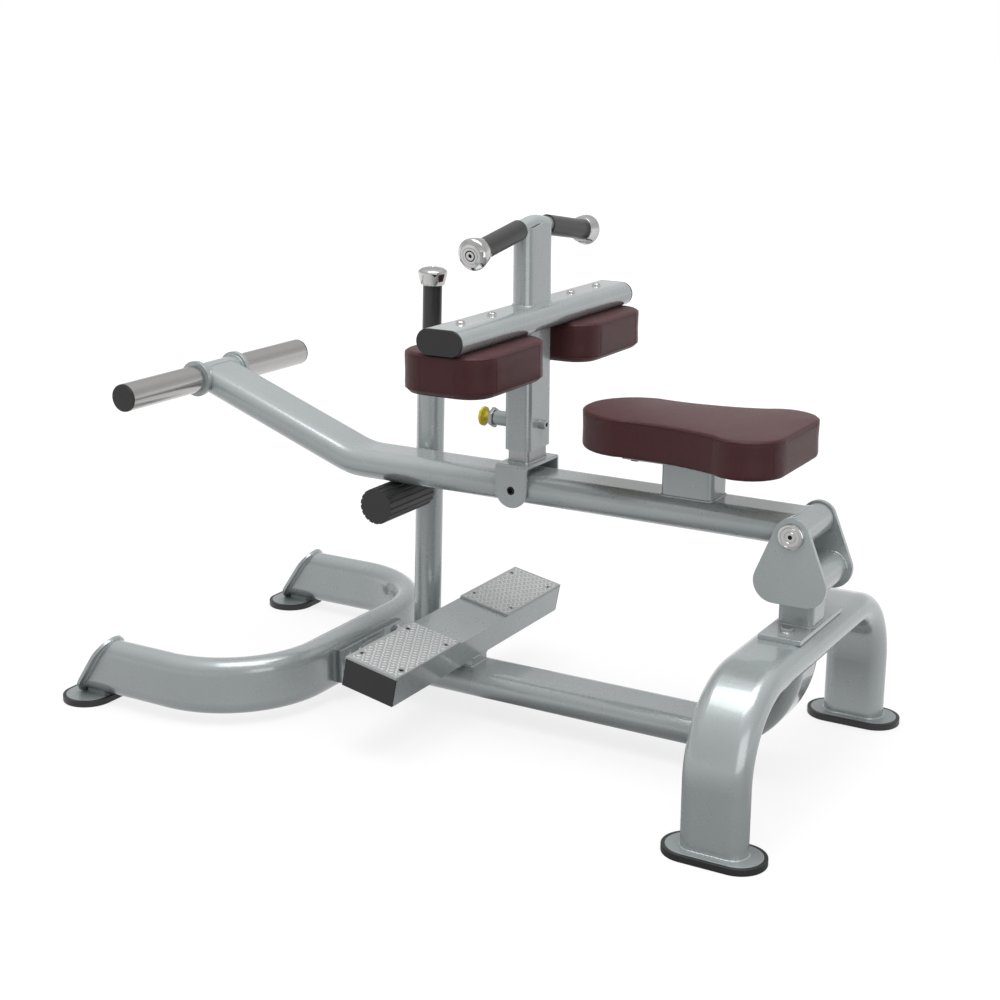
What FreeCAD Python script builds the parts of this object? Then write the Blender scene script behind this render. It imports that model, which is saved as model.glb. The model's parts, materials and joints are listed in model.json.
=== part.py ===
import FreeCAD, Part
import math
import os

from FreeCAD import Rotation, Vector

# Seated calf raise machine. Lengths are in millimetres and angles in degrees.
# X runs from the weight horns (front, negative) to the lever pivot (rear, positive).
# Y runs across the machine, Z is up. The origin is the middle of the footprint, on the floor.

# Whole machine
overall_length = 1360.0
main_tube_width = 102.0
main_tube_depth = 51.0
main_tube_wall = 3.0
running_gap = 0.3
fit_gap = 0.05
overrun = 10.0

# Feet
boot_height = 11.5
boot_rim = 6.0
foot_plate_seat = 4.0
foot_plate_thickness = 8.0
rear_boot_length = 166.0
rear_boot_width = 89.0
rear_track = 618.0
front_boot_length = 124.0
front_boot_width = 94.0
front_track = 612.0

# Rear arch
arch_top_height = 271.0
arch_tube_width = 107.0
arch_bend_radius = 130.0

# Front frame, which is open towards the front
crossbar_setback = 413.0
front_bend_radius = 182.0
front_frame_lift = 4.0
front_cut_angle = 34.0
front_cut_inset = 32.0
end_plate_length = 131.0
end_plate_width = 80.0
end_plate_thickness = 6.5
end_plate_sink = 3.0
front_saddle_width = 26.0
front_saddle_length = 40.0
front_saddle_rise = 3.0
front_saddle_setback = 10.0

# Floor beam and the bolted flange in front of it
floor_beam_drop = 4.0
riser_length = 22.5
flange_width = 200.0
flange_height = 62.0
flange_thickness = 8.0
flange_bolt_spacing_y = 156.0
flange_bolt_spacing_z = 30.0
bolt_diameter = 10.0
bolt_head_flats = 17.0
bolt_head_height = 7.0
bolt_hole_gap = 0.5
bolt_grip = 6.0

# Foot rest
foot_rest_setback = 191.5
foot_rest_rise = 77.5
foot_rest_tilt = 11.0
foot_rest_width = 102.0
foot_rest_depth = 50.0
foot_rest_length = 560.0
foot_rest_wall = 3.0
foot_rest_cap_thickness = 3.0
foot_rest_cap_plug = 12.0
tread_thickness = 4.0
tread_length = 202.0
tread_outer_edge = 283.0
tread_screw_inset_x = 11.0
tread_screw_inset_y = 31.0
tread_screw_diameter = 5.0
tread_screw_head = 10.0
tread_screw_length = 12.0
saddle_wall = 5.0
saddle_width = 50.0
saddle_front = 44.0
saddle_rear = 39.0

# Pivot bracket on the arch
bracket_offset = 5.0
bracket_plate_length = 190.0
bracket_plate_width = 70.0
bracket_plate_thickness = 8.0
bracket_post_size = 60.0
bracket_post_radius = 10.0
bracket_post_length = 51.5
side_plate_thickness = 7.5
side_plate_inside = 56.0
side_plate_top_radius = 29.0
side_plate_margin = 9.0
bracket_bolt_spacing = 124.0

# Lever
axle_rise = 78.0
axle_diameter = 20.0
axle_cap_diameter = 42.0
axle_cap_thickness = 6.0
axle_cap_recess = 10.0
hub_wall = 5.0
bush_flange_thickness = 2.5
bush_flange_diameter = 46.0
bush_length = 22.0
lever_bend_lead = 84.0
lever_rise_angle = 20.0
lever_bend_radius = 150.0
horn_reach = 351.0

# Weight horns
sleeve_diameter = 50.0
sleeve_end = 252.0
spigot_diameter = 42.0
spigot_end = 243.0
spigot_wall = 4.0
collar_diameter = 66.0
collar_inside = 51.5
collar_thickness = 9.0
sleeve_cap_thickness = 4.0
sleeve_cap_diameter = 49.0

# Seat
seat_front_x = 216.0
seat_length = 372.0
seat_rear_width = 254.0
seat_rise = 156.0
seat_thickness = 64.0
seat_post_x = 408.5
seat_post_length = 92.0
seat_post_width = 62.0
seat_post_radius = 11.0
seat_plate_thickness = 5.0
seat_plate_length = 190.0
seat_plate_width = 140.0
seat_board_thickness = 12.0
seat_board_inset = 16.0
seat_screw_spacing_x = 160.0
seat_screw_spacing_y = 100.0

# Clevis and height posts
clevis_x = 100.0
clevis_inside = 52.0
clevis_plate = 5.0
clevis_top_thickness = 6.0
clevis_rise = 44.0
clevis_radius = 30.0
clevis_bend_radius = 6.0
clevis_pin_diameter = 14.0
clevis_socket = 9.0
clevis_socket_depth = 6.0
clevis_bush_wall = 4.0
inner_post_depth = 40.0
inner_post_width = 70.0
inner_post_radius = 8.0
inner_post_wall = 3.0
inner_post_length = 167.0
outer_post_depth = 50.0
outer_post_width = 80.0
outer_post_radius = 12.0
outer_post_wall = 3.0
outer_post_gap = 22.0
outer_post_length = 224.0
liner_length = 100.0
liner_gap = 0.3
height_pitch = 25.0
height_steps = 4

# Pad beam, upper post and handle
pad_beam_x = 108.0
pad_beam_width = 82.0
pad_beam_depth = 41.0
pad_beam_wall = 3.0
pad_beam_half_length = 289.0
pad_cap_thickness = 4.0
pad_cap_plug = 14.0
upper_post_x = 106.5
upper_post_depth = 40.0
upper_post_width = 86.0
handle_rise = 153.0
handle_droop = 9.2
handle_diameter = 28.0
handle_wall = 3.0
handle_half_length = 201.0
grip_clearance = 1.0
grip_diameter = 34.0
flared_cap_small = 40.0
flared_cap_large = 52.0
flared_cap_length = 31.0
flared_cap_rim = 2.0
flared_cap_dome = 7.0
flared_cap_face = 30.0
flared_cap_floor = 11.0

# Thigh pads
thigh_pad_length = 230.0
thigh_pad_width = 160.0
thigh_pad_thickness = 66.0
thigh_pad_x = 101.5
thigh_pad_inner_edge = 60.0
thigh_pad_corner = 48.0
thigh_board_thickness = 11.0
thigh_board_inset = 18.0
pad_screw_positions = (134.0, 229.0)
pad_screw_diameter = 8.0
pad_screw_head = 16.0
pad_screw_head_height = 5.0
pad_screw_bite = 8.0

# Pull pin
plunger_rise = 42.0
plunger_boss_diameter = 26.0
plunger_boss_length = 31.0
plunger_nut_flats = 31.0
plunger_nut_length = 15.0
plunger_chamber = 17.0
plunger_pin_diameter = 10.0
plunger_collar_diameter = 16.0
plunger_collar_length = 3.0
plunger_collar_back = 6.0
plunger_knob_diameter = 31.0
plunger_knob_length = 15.0
plunger_knob_lobes = 8
plunger_knob_lobe_depth = 1.2
plunger_knob_land_share = 0.6
spring_wall = 1.6
set_screw_boss = 16.0
set_screw_boss_length = 12.0
set_screw_diameter = 8.0
set_screw_rise = 41.0
set_screw_sink = 1.0

# Safety catch
catch_setback = 67.5
catch_y = 81.0
catch_lean = 1.5
catch_post_diameter = 50.0
catch_post_wall = 3.0
catch_post_rise = 265.8
catch_rod_diameter = 25.0
catch_grip_gap = 8.0
catch_grip_length = 96.0
catch_bush_diameter = 44.0
catch_bush_proud = 0.5
catch_pin_head = 32.0
catch_pin_head_thickness = 5.0
catch_pin_root = 40.0
roller_diameter = 64.0
roller_offset_x = -5.0
roller_near_end = 86.0
roller_shaft_diameter = 20.0
roller_end_wall = 6.0
roller_flutes = 18
roller_flute_depth = 1.7
roller_land_share = 0.7

# Places that follow from the sizes above
AXIS_X = Vector(1, 0, 0)
AXIS_Y = Vector(0, 1, 0)
AXIS_Z = Vector(0, 0, 1)
QUARTER_TURN = 90
foot_plate_top = foot_plate_seat + foot_plate_thickness
arch_x = overall_length / 2 - rear_boot_length / 2
front_foot_x = -overall_length / 2 + front_boot_width / 2
crossbar_x = -overall_length / 2 + crossbar_setback
frame_level = foot_plate_top + front_frame_lift + main_tube_width / 2
beam_level = frame_level - floor_beam_drop
floor_beam_front = crossbar_x + main_tube_depth / 2 + 2 * flange_thickness
floor_bend_radius = arch_top_height - main_tube_depth / 2 - riser_length - beam_level
foot_rest_x = floor_beam_front + foot_rest_setback
foot_rest_top = beam_level + main_tube_depth / 2 + foot_rest_rise
bracket_plate_top = arch_top_height + bracket_plate_thickness
bracket_tube_height = bracket_plate_top + bracket_post_length + main_tube_depth / 2
pivot_x = arch_x + bracket_offset
pivot_height = bracket_tube_height + axle_rise
catch_pivot_x = floor_beam_front + catch_setback
lever_bend_x = catch_pivot_x - lever_bend_lead
horn_x = lever_bend_x - horn_reach * math.cos(math.radians(lever_rise_angle))
horn_z = pivot_height + horn_reach * math.sin(math.radians(lever_rise_angle))
collar_outside = collar_inside + collar_thickness
seat_top = pivot_height + seat_rise
seat_bottom = seat_top - seat_thickness
clevis_outside = clevis_inside + clevis_plate
clevis_top_height = pivot_height + clevis_rise
inner_post_top = clevis_top_height + inner_post_length
outer_post_bottom = clevis_top_height + outer_post_gap
pad_beam_z = outer_post_bottom + outer_post_length
pad_beam_bottom = pad_beam_z - pad_beam_depth / 2
handle_height = pad_beam_z + handle_rise
plunger_z = outer_post_bottom + plunger_rise
set_screw_height = outer_post_bottom + set_screw_rise
inner_post_front = clevis_x - inner_post_depth / 2
outer_post_front = clevis_x - outer_post_depth / 2
outer_post_rear = clevis_x + outer_post_depth / 2
thigh_pad_y = thigh_pad_inner_edge + thigh_pad_length / 2
grip_droop = math.radians(handle_droop)
grip_reach = upper_post_width / 2 + grip_clearance + grip_diameter / 2 * math.sin(grip_droop)
grip_start = grip_reach / math.cos(grip_droop)
roller_radius = roller_diameter / 2
roller_z = pivot_height - main_tube_depth / 2 - running_gap - roller_radius
catch_bush_width = catch_post_diameter + 2 * catch_bush_proud
catch_post_length = roller_z - beam_level + catch_post_rise
catch_grip_start = catch_post_length + catch_grip_gap
catch_cap_base = catch_grip_start + catch_grip_length


def turned(vector, axis, angle):
    return Rotation(axis, angle).multVec(vector)


def side_word(side):
    return "left" if side < 0 else "right"


def oval_wire(width, depth, at, wide, deep):
    """Flat oval: two straight sides joined by half circles."""
    radius = depth / 2
    flat = width / 2 - radius
    bottom_left = at - wide * flat - deep * radius
    bottom_right = at + wide * flat - deep * radius
    top_right = at + wide * flat + deep * radius
    top_left = at - wide * flat + deep * radius
    return Part.Wire([
        Part.LineSegment(bottom_left, bottom_right).toShape(),
        Part.Arc(bottom_right, at + wide * (flat + radius), top_right).toShape(),
        Part.LineSegment(top_right, top_left).toShape(),
        Part.Arc(top_left, at - wide * (flat + radius), bottom_left).toShape(),
    ])


def rounded_wire(width, depth, radius, at, wide, deep):
    """Rectangle with four round corners."""
    edges = []
    half_w = width / 2
    half_d = depth / 2
    diagonal = radius * (1 - math.sqrt(0.5))
    corners = ((1, -1), (1, 1), (-1, 1), (-1, -1))
    ends = []
    for u, v in corners:
        along_u = at + wide * u * half_w + deep * v * (half_d - radius)
        along_v = at + wide * u * (half_w - radius) + deep * v * half_d
        middle = at + wide * u * (half_w - diagonal) + deep * v * (half_d - diagonal)
        first, last = (along_v, along_u) if u * v < 0 else (along_u, along_v)
        ends.append((first, last))
        edges.append(Part.Arc(first, middle, last).toShape())
    for index, (_, last) in enumerate(ends):
        following = ends[(index + 1) % len(ends)][0]
        edges.append(Part.LineSegment(last, following).toShape())
    return Part.Wire(Part.__sortEdges__(edges))


def prism(wire, travel):
    return Part.Face(wire).extrude(travel)


def cylinder(diameter, start, travel):
    return Part.makeCylinder(diameter / 2, travel.Length, start, travel)


def ring(outer, inner, start, travel):
    return cylinder(outer, start, travel).cut(cylinder(inner, start, travel))


def cone(small, large, start, travel):
    return Part.makeCone(small / 2, large / 2, travel.Length, start, travel)


def hexagon(flats, start, travel):
    """Six-sided prism, measured across its flats."""
    direction = Vector(travel).normalize()
    side_dir = AXIS_Z if abs(direction.z) < 0.5 else AXIS_X
    corner = side_dir * (flats / math.sqrt(3))
    points = [start + turned(corner, direction, 60 * step) for step in range(6)]
    return prism(Part.makePolygon(points + [points[0]]), travel)


def box_tube(width, depth, radius, wall, at, wide, deep, travel):
    """Straight hollow tube with a rounded rectangular section."""
    outer = prism(rounded_wire(width, depth, radius, at, wide, deep), travel)
    bore_wire = rounded_wire(width - 2 * wall, depth - 2 * wall, radius - wall, at, wide, deep)
    return outer.cut(prism(bore_wire, travel))


def joined(shapes):
    result = shapes[0]
    for shape in shapes[1:]:
        result = result.fuse(shape)
    return result.removeSplitter()


class OvalRun:
    """A flat-oval tube laid from a start point as straights and bends."""

    def __init__(self, start, heading, wide, width, depth, wall):
        self.at = start
        self.heading = heading
        self.wide = wide
        self.width = width
        self.depth = depth
        self.wall = wall
        self.outer_parts = []
        self.bore_parts = []

    def faces(self):
        deep = self.heading.cross(self.wide)
        outer = Part.Face(oval_wire(self.width, self.depth, self.at, self.wide, deep))
        bore_width = self.width - 2 * self.wall
        bore_depth = self.depth - 2 * self.wall
        bore = Part.Face(oval_wire(bore_width, bore_depth, self.at, self.wide, deep))
        return outer, bore

    def straight(self, length):
        outer, bore = self.faces()
        travel = self.heading * length
        self.outer_parts.append(outer.extrude(travel))
        self.bore_parts.append(bore.extrude(travel))
        self.at = self.at + travel
        return self

    def bend(self, radius, angle, toward):
        outer, bore = self.faces()
        centre = self.at + toward * radius
        axis = self.heading.cross(toward)
        self.outer_parts.append(outer.revolve(centre, axis, angle))
        self.bore_parts.append(bore.revolve(centre, axis, angle))
        self.at = centre + turned(self.at - centre, axis, angle)
        self.heading = turned(self.heading, axis, angle)
        self.wide = turned(self.wide, axis, angle)
        return self

    def outer(self):
        return joined(self.outer_parts)

    def tube(self):
        return self.outer().cut(joined(self.bore_parts))


def save(name, *solids):
    shape = solids[0] if len(solids) == 1 else Part.makeCompound(list(solids))
    shape.exportStep("parts/" + name + ".step")


def rear_arch_run():
    leg_foot = Vector(arch_x, -rear_track / 2, foot_plate_top)
    leg_length = arch_top_height - main_tube_depth / 2 - arch_bend_radius - foot_plate_top
    run = OvalRun(leg_foot, AXIS_Z, AXIS_X, arch_tube_width, main_tube_depth, main_tube_wall)
    run.straight(leg_length)
    run.bend(arch_bend_radius, QUARTER_TURN, AXIS_Y)
    run.straight(rear_track - 2 * arch_bend_radius)
    run.bend(arch_bend_radius, QUARTER_TURN, -AXIS_Z)
    return run.straight(leg_length)


def rear_arch():
    shape = rear_arch_run().tube()
    for place in bracket_bolt_places():
        shape = shape.cut(bolt_hole(place, -AXIS_Z, bracket_plate_thickness + bolt_grip))
    save("rear_arch", shape)


def front_foot_saddle(side):
    """Low block that cradles the round underside of a front leg."""
    corner = front_cut_foot() + AXIS_X * front_saddle_setback
    corner = corner + AXIS_Y * (side * front_track / 2 - front_saddle_width / 2)
    height = front_frame_lift + front_saddle_rise
    return Part.makeBox(front_saddle_length, front_saddle_width, height, corner).cut(front_run().outer())


def foot_set(prefix, x, track, length, width, along):
    across = AXIS_Z.cross(along)
    plates = []
    pads = []
    plate_length = length - 2 * boot_rim
    plate_width = width - 2 * boot_rim
    for side in (-1, 1):
        floor = Vector(x, side * track / 2, 0)
        seat = floor + AXIS_Z * foot_plate_seat
        boot = prism(oval_wire(length, width, floor, along, across), AXIS_Z * boot_height)
        pocket = prism(oval_wire(plate_length, plate_width, seat, along, across), AXIS_Z * boot_height)
        plate_wire = oval_wire(plate_length, plate_width, seat, along, across)
        pads.append(boot.cut(pocket))
        plate = prism(plate_wire, AXIS_Z * foot_plate_thickness)
        if prefix == "front":
            plate = plate.fuse(front_foot_saddle(side)).removeSplitter()
        plates.append(plate)
    save(prefix + "_foot_plates", *plates)
    save(prefix + "_foot_pads", *pads)


def front_cut_foot():
    """Lowest point of the slanted cut that ends each front leg."""
    return Vector(-overall_length / 2 + front_cut_inset, 0, foot_plate_top)


def front_run():
    start = Vector(-overall_length / 2, -front_track / 2, frame_level)
    leg_length = crossbar_setback - front_bend_radius
    run = OvalRun(start, AXIS_X, AXIS_Z, main_tube_width, main_tube_depth, main_tube_wall)
    run.straight(leg_length)
    run.bend(front_bend_radius, QUARTER_TURN, AXIS_Y)
    run.straight(front_track - 2 * front_bend_radius)
    run.bend(front_bend_radius, QUARTER_TURN, -AXIS_X)
    return run.straight(leg_length)


def front_u_frame():
    half = main_tube_width * 2
    waste = Part.makeBox(half, front_track * 2, half * 2, Vector(-half, -front_track, -half))
    waste.rotate(Vector(0, 0, 0), AXIS_Y, front_cut_angle)
    waste.translate(front_cut_foot())
    shape = front_run().tube().cut(waste)
    for place in flange_bolt_places():
        shape = shape.cut(bolt_hole(place, -AXIS_X, 2 * flange_thickness + bolt_grip))
    save("front_u_frame", shape)


def front_end_plates():
    along = turned(AXIS_Z, AXIS_Y, front_cut_angle)
    outward = along.cross(AXIS_Y)
    below_corner = Vector(-overall_length, -front_track, foot_plate_top - main_tube_width)
    below = Part.makeBox(overall_length, 2 * front_track, main_tube_width, below_corner)
    plates = []
    for side in (-1, 1):
        low_end = front_cut_foot() + AXIS_Y * (side * front_track / 2)
        centre = low_end + along * ((end_plate_length - end_plate_sink) / 2)
        wire = oval_wire(end_plate_length + end_plate_sink, end_plate_width, centre, along, AXIS_Y)
        plates.append(prism(wire, outward * end_plate_thickness).cut(below))
    save("front_end_plates", *plates)


def bolt_hole(place, direction, length):
    start = place - direction * overrun
    return cylinder(bolt_diameter + 2 * bolt_hole_gap, start, direction * (length + overrun))


def hex_bolt(place, direction, length):
    """Bolt whose head sits on the face at place and whose shank runs along direction."""
    head = hexagon(bolt_head_flats, place - direction * bolt_head_height, direction * bolt_head_height)
    return head.fuse(cylinder(bolt_diameter, place, direction * length))


def flange_bolt_places():
    for y in (-flange_bolt_spacing_y / 2, flange_bolt_spacing_y / 2):
        for z in (-flange_bolt_spacing_z / 2, flange_bolt_spacing_z / 2):
            yield Vector(floor_beam_front, y, frame_level + z)


def bracket_bolt_places():
    for side in (-1, 1):
        yield Vector(pivot_x, side * bracket_bolt_spacing / 2, bracket_plate_top)


def joint_flanges():
    plates = []
    for index in (1, 2):
        back = floor_beam_front - index * flange_thickness
        corner = Vector(back, -flange_width / 2, frame_level - flange_height / 2)
        plate = Part.makeBox(flange_thickness, flange_width, flange_height, corner)
        for place in flange_bolt_places():
            plate = plate.cut(bolt_hole(place, -AXIS_X, 2 * flange_thickness))
        plates.append(plate)
    save("joint_flanges", *plates)


def frame_bolts():
    flange_length = 2 * flange_thickness + bolt_grip
    bracket_length = bracket_plate_thickness + bolt_grip
    bolts = [hex_bolt(place, -AXIS_X, flange_length) for place in flange_bolt_places()]
    bolts += [hex_bolt(place, -AXIS_Z, bracket_length) for place in bracket_bolt_places()]
    save("frame_bolts", *bolts)


def floor_beam_run():
    rear_reach = arch_x - floor_beam_front - floor_bend_radius
    riser_top = arch_top_height - main_tube_depth / 2
    start = Vector(floor_beam_front, 0, beam_level)
    run = OvalRun(start, AXIS_X, AXIS_Y, main_tube_width, main_tube_depth, main_tube_wall)
    run.straight(rear_reach)
    run.bend(floor_bend_radius, QUARTER_TURN, AXIS_Z)
    return run.straight(riser_top - beam_level - floor_bend_radius)


def catch_pivot():
    return Vector(catch_pivot_x, catch_y, beam_level)


def floor_beam():
    pin_root = Vector(catch_pivot_x, catch_pin_root, beam_level)
    pin_hole = cylinder(axle_diameter, pin_root, AXIS_Y * main_tube_width)
    save("floor_beam", floor_beam_run().tube().cut(pin_hole).cut(rear_arch_run().outer()))


def foot_rest_frame():
    along = turned(AXIS_X, AXIS_Y, foot_rest_tilt)
    normal = turned(AXIS_Z, AXIS_Y, foot_rest_tilt)
    return Vector(foot_rest_x, 0, foot_rest_top), along, normal


def tilted_block(width, length, depth, top, centre_y):
    """Block in the foot rest's tilted frame; top is its depth below the tread's face."""
    origin, along, normal = foot_rest_frame()
    corner = origin - along * (width / 2) - normal * top + AXIS_Y * (centre_y - length / 2)
    rear = corner + along * width
    points = [corner, rear, rear - normal * depth, corner - normal * depth]
    return prism(Part.makePolygon(points + [points[0]]), AXIS_Y * length)


def tread_screw_places():
    origin, along, normal = foot_rest_frame()
    u = foot_rest_width / 2 - tread_screw_inset_x
    near = tread_outer_edge - tread_length + tread_screw_inset_y
    far = tread_outer_edge - tread_screw_inset_y
    for side in (-1, 1):
        for along_share in (-1, 1):
            for y in (near, far):
                yield side, origin + along * u * along_share + AXIS_Y * side * y


def tread_screw(place, gap, extra):
    origin, along, normal = foot_rest_frame()
    head_depth = (tread_screw_head - tread_screw_diameter) / 2
    shank = cylinder(tread_screw_diameter + 2 * gap, place, -normal * (tread_screw_length + extra))
    head = cone(tread_screw_head + 2 * gap, tread_screw_diameter + 2 * gap, place, -normal * head_depth)
    return shank.fuse(head)


def foot_rest():
    inner_width = foot_rest_width - 2 * foot_rest_wall
    inner_depth = foot_rest_depth - 2 * foot_rest_wall
    beam = tilted_block(foot_rest_width, foot_rest_length, foot_rest_depth, tread_thickness, 0)
    bore_top = tread_thickness + foot_rest_wall
    beam = beam.cut(tilted_block(inner_width, foot_rest_length, inner_depth, bore_top, 0))
    screws = []
    plates = {}
    caps = []
    plug_width = inner_width - 2 * fit_gap
    plug_depth = inner_depth - 2 * fit_gap
    for side in (-1, 1):
        middle = side * (tread_outer_edge - tread_length / 2)
        plates[side] = tilted_block(foot_rest_width, tread_length, tread_thickness, 0, middle)
        face_y = side * (foot_rest_length / 2 + foot_rest_cap_thickness / 2)
        plug_y = side * (foot_rest_length / 2 - foot_rest_cap_plug / 2)
        face = tilted_block(
            foot_rest_width, foot_rest_cap_thickness, foot_rest_depth, tread_thickness, face_y)
        plug = tilted_block(plug_width, foot_rest_cap_plug, plug_depth, bore_top + fit_gap, plug_y)
        caps.append(face.fuse(plug))
    for side, place in tread_screw_places():
        hole = tread_screw(place, fit_gap, overrun)
        plates[side] = plates[side].cut(hole)
        beam = beam.cut(hole)
        screws.append(tread_screw(place, 0, 0))
    save("foot_rest_beam", beam)
    save("foot_rest_caps", *caps)
    save("tread_plates", plates[-1], plates[1])
    save("tread_screws", *screws)


def foot_rest_saddle():
    """Short upright box tube that stands on the floor beam, cut to the foot rest's tilt."""
    beam_top = beam_level + main_tube_depth / 2
    slope = math.tan(math.radians(foot_rest_tilt))
    drop = (tread_thickness + foot_rest_depth) / math.cos(math.radians(foot_rest_tilt))
    front_x = foot_rest_x - saddle_front
    rear_x = foot_rest_x + saddle_rear
    front_z = foot_rest_top - drop + slope * saddle_front
    rear_z = foot_rest_top - drop - slope * saddle_rear
    side = -saddle_width / 2
    points = [
        Vector(front_x, side, beam_top), Vector(rear_x, side, beam_top),
        Vector(rear_x, side, rear_z), Vector(front_x, side, front_z)]
    outer = prism(Part.makePolygon(points + [points[0]]), AXIS_Y * saddle_width)
    bore_corner = Vector(front_x + saddle_wall, side + saddle_wall, beam_top)
    bore_length = saddle_front + saddle_rear - 2 * saddle_wall
    bore = Part.makeBox(bore_length, saddle_width - 2 * saddle_wall, front_z - beam_top, bore_corner)
    save("foot_rest_saddle", outer.cut(bore))


def bracket_tube_wire(margin, y):
    centre = Vector(pivot_x, y, bracket_tube_height)
    return oval_wire(main_tube_width + 2 * margin, main_tube_depth + 2 * margin, centre, AXIS_X, AXIS_Z)


def outer_tangent(low_x, low_z, low_radius, high_z, high_radius):
    """Touching points of the straight edge from the lower round corner to the top one."""
    distance = math.hypot(low_x, high_z - low_z)
    slant = math.atan2(high_z - low_z, -low_x)
    turn = math.acos((low_radius - high_radius) / distance)
    normal = slant - turn
    x, z = math.cos(normal), math.sin(normal)
    return (low_x + low_radius * x, low_z + low_radius * z), (high_radius * x, high_z + high_radius * z)


def side_plate_wire(y):
    """Pear shape: a round top about the axle, straight flanks, wide round lower corners."""
    corner_x = main_tube_width / 2 - main_tube_depth / 2
    corner_radius = main_tube_depth / 2 + side_plate_margin
    drop = bracket_tube_height - pivot_height
    low, high = outer_tangent(corner_x, drop, corner_radius, 0, side_plate_top_radius)

    def at(x, z):
        return Vector(pivot_x + x, y, pivot_height + z)

    angle_low = math.atan2(low[1] - drop, low[0] - corner_x)
    middle = (angle_low - math.pi / 2) / 2
    mid_x = corner_x + corner_radius * math.cos(middle)
    mid_z = drop + corner_radius * math.sin(middle)
    base_z = drop - corner_radius
    return Part.Wire([
        Part.LineSegment(at(-corner_x, base_z), at(corner_x, base_z)).toShape(),
        Part.Arc(at(corner_x, base_z), at(mid_x, mid_z), at(*low)).toShape(),
        Part.LineSegment(at(*low), at(*high)).toShape(),
        Part.Arc(at(*high), at(0, side_plate_top_radius), at(-high[0], high[1])).toShape(),
        Part.LineSegment(at(-high[0], high[1]), at(-low[0], low[1])).toShape(),
        Part.Arc(at(-low[0], low[1]), at(-mid_x, mid_z), at(-corner_x, base_z)).toShape(),
    ])


def pivot_bracket():
    plate_corner = Vector(pivot_x - bracket_plate_width / 2, -bracket_plate_length / 2, arch_top_height)
    plate = Part.makeBox(bracket_plate_width, bracket_plate_length, bracket_plate_thickness, plate_corner)
    for place in bracket_bolt_places():
        plate = plate.cut(bolt_hole(place, -AXIS_Z, bracket_plate_thickness))
    save("bracket_base_plate", plate)

    half_length = side_plate_inside
    tube_outer = prism(bracket_tube_wire(0, -half_length), AXIS_Y * 2 * half_length)
    tube = tube_outer.cut(prism(bracket_tube_wire(-main_tube_wall, -half_length), AXIS_Y * 2 * half_length))
    save("bracket_cross_tube", tube)

    post_base = Vector(pivot_x, 0, bracket_plate_top)
    post = box_tube(
        bracket_post_size, bracket_post_size, bracket_post_radius, main_tube_wall,
        post_base, AXIS_X, AXIS_Y, AXIS_Z * (bracket_tube_height - bracket_plate_top))
    save("bracket_post", post.cut(tube_outer))

    plates = []
    for side in (-1, 1):
        inside = side * side_plate_inside
        plate = prism(side_plate_wire(inside), AXIS_Y * side * side_plate_thickness)
        eye = Vector(pivot_x, inside, pivot_height)
        axle_hole = cylinder(axle_diameter, eye, AXIS_Y * side * side_plate_thickness)
        plates.append(plate.cut(axle_hole))
    save("bracket_side_plates", *plates)


def lever_axle():
    outside = side_plate_inside + side_plate_thickness
    start = Vector(pivot_x, -outside, pivot_height)
    save("lever_axle", cylinder(axle_diameter, start, AXIS_Y * 2 * outside))
    caps = []
    for side in (-1, 1):
        face = Vector(pivot_x, side * outside, pivot_height)
        cap = cylinder(axle_cap_diameter, face, AXIS_Y * side * axle_cap_thickness)
        outer_y = side * (outside + axle_cap_thickness)
        outer_rim = [edge for edge in cap.Edges if abs(edge.CenterOfMass.y - outer_y) < fit_gap]
        cap = cap.makeChamfer(axle_cap_thickness / 4, outer_rim)
        recess_start = face + AXIS_Y * side * (axle_cap_thickness / 2)
        caps.append(cap.cut(cylinder(axle_cap_recess, recess_start, AXIS_Y * side * axle_cap_thickness)))
    save("axle_caps", *caps)


def lever_beam_run():
    tangent = lever_bend_radius * math.tan(math.radians(lever_rise_angle / 2))
    start = Vector(pivot_x, 0, pivot_height)
    run = OvalRun(start, -AXIS_X, AXIS_Y, main_tube_width, main_tube_depth, main_tube_wall)
    run.straight(pivot_x - lever_bend_x - tangent)
    run.bend(lever_bend_radius, lever_rise_angle, AXIS_Z)
    return run.straight(horn_reach - tangent)


def across(diameter, x, z, half_length):
    """Cylinder across the machine, centred on its middle plane."""
    return cylinder(diameter, Vector(x, -half_length, z), AXIS_Y * 2 * half_length)


def clevis_bush_diameter():
    return clevis_pin_diameter + 2 * clevis_bush_wall


def lever_beam():
    tube = lever_beam_run().tube()
    tube = tube.cut(across(main_tube_depth, pivot_x, pivot_height, main_tube_width))
    tube = tube.cut(across(main_tube_depth, horn_x, horn_z, main_tube_width))
    tube = tube.cut(across(clevis_bush_diameter(), clevis_x, pivot_height, main_tube_width))
    save("lever_beam", tube)


def lever_hub():
    flange_outside = side_plate_inside - running_gap
    hub_half = flange_outside - bush_flange_thickness
    hub_bore = main_tube_depth - 2 * hub_wall
    hub = across(main_tube_depth, pivot_x, pivot_height, hub_half)
    save("hub_tube", hub.cut(across(hub_bore, pivot_x, pivot_height, hub_half)))
    bushes = []
    for side in (-1, 1):
        face = Vector(pivot_x, side * flange_outside, pivot_height)
        inward = AXIS_Y * -side
        flange = cylinder(bush_flange_diameter, face, inward * bush_flange_thickness)
        bush = flange.fuse(cylinder(hub_bore, face, inward * bush_length))
        bore = cylinder(axle_diameter + 2 * fit_gap, face, inward * bush_length)
        bushes.append(bush.cut(bore))
    save("hub_bushes", *bushes)


def clevis_bush():
    half = clevis_inside - running_gap
    bush = across(clevis_bush_diameter(), clevis_x, pivot_height, half)
    bore = across(clevis_pin_diameter + 2 * fit_gap, clevis_x, pivot_height, half)
    save("clevis_bush", bush.cut(bore))


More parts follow.
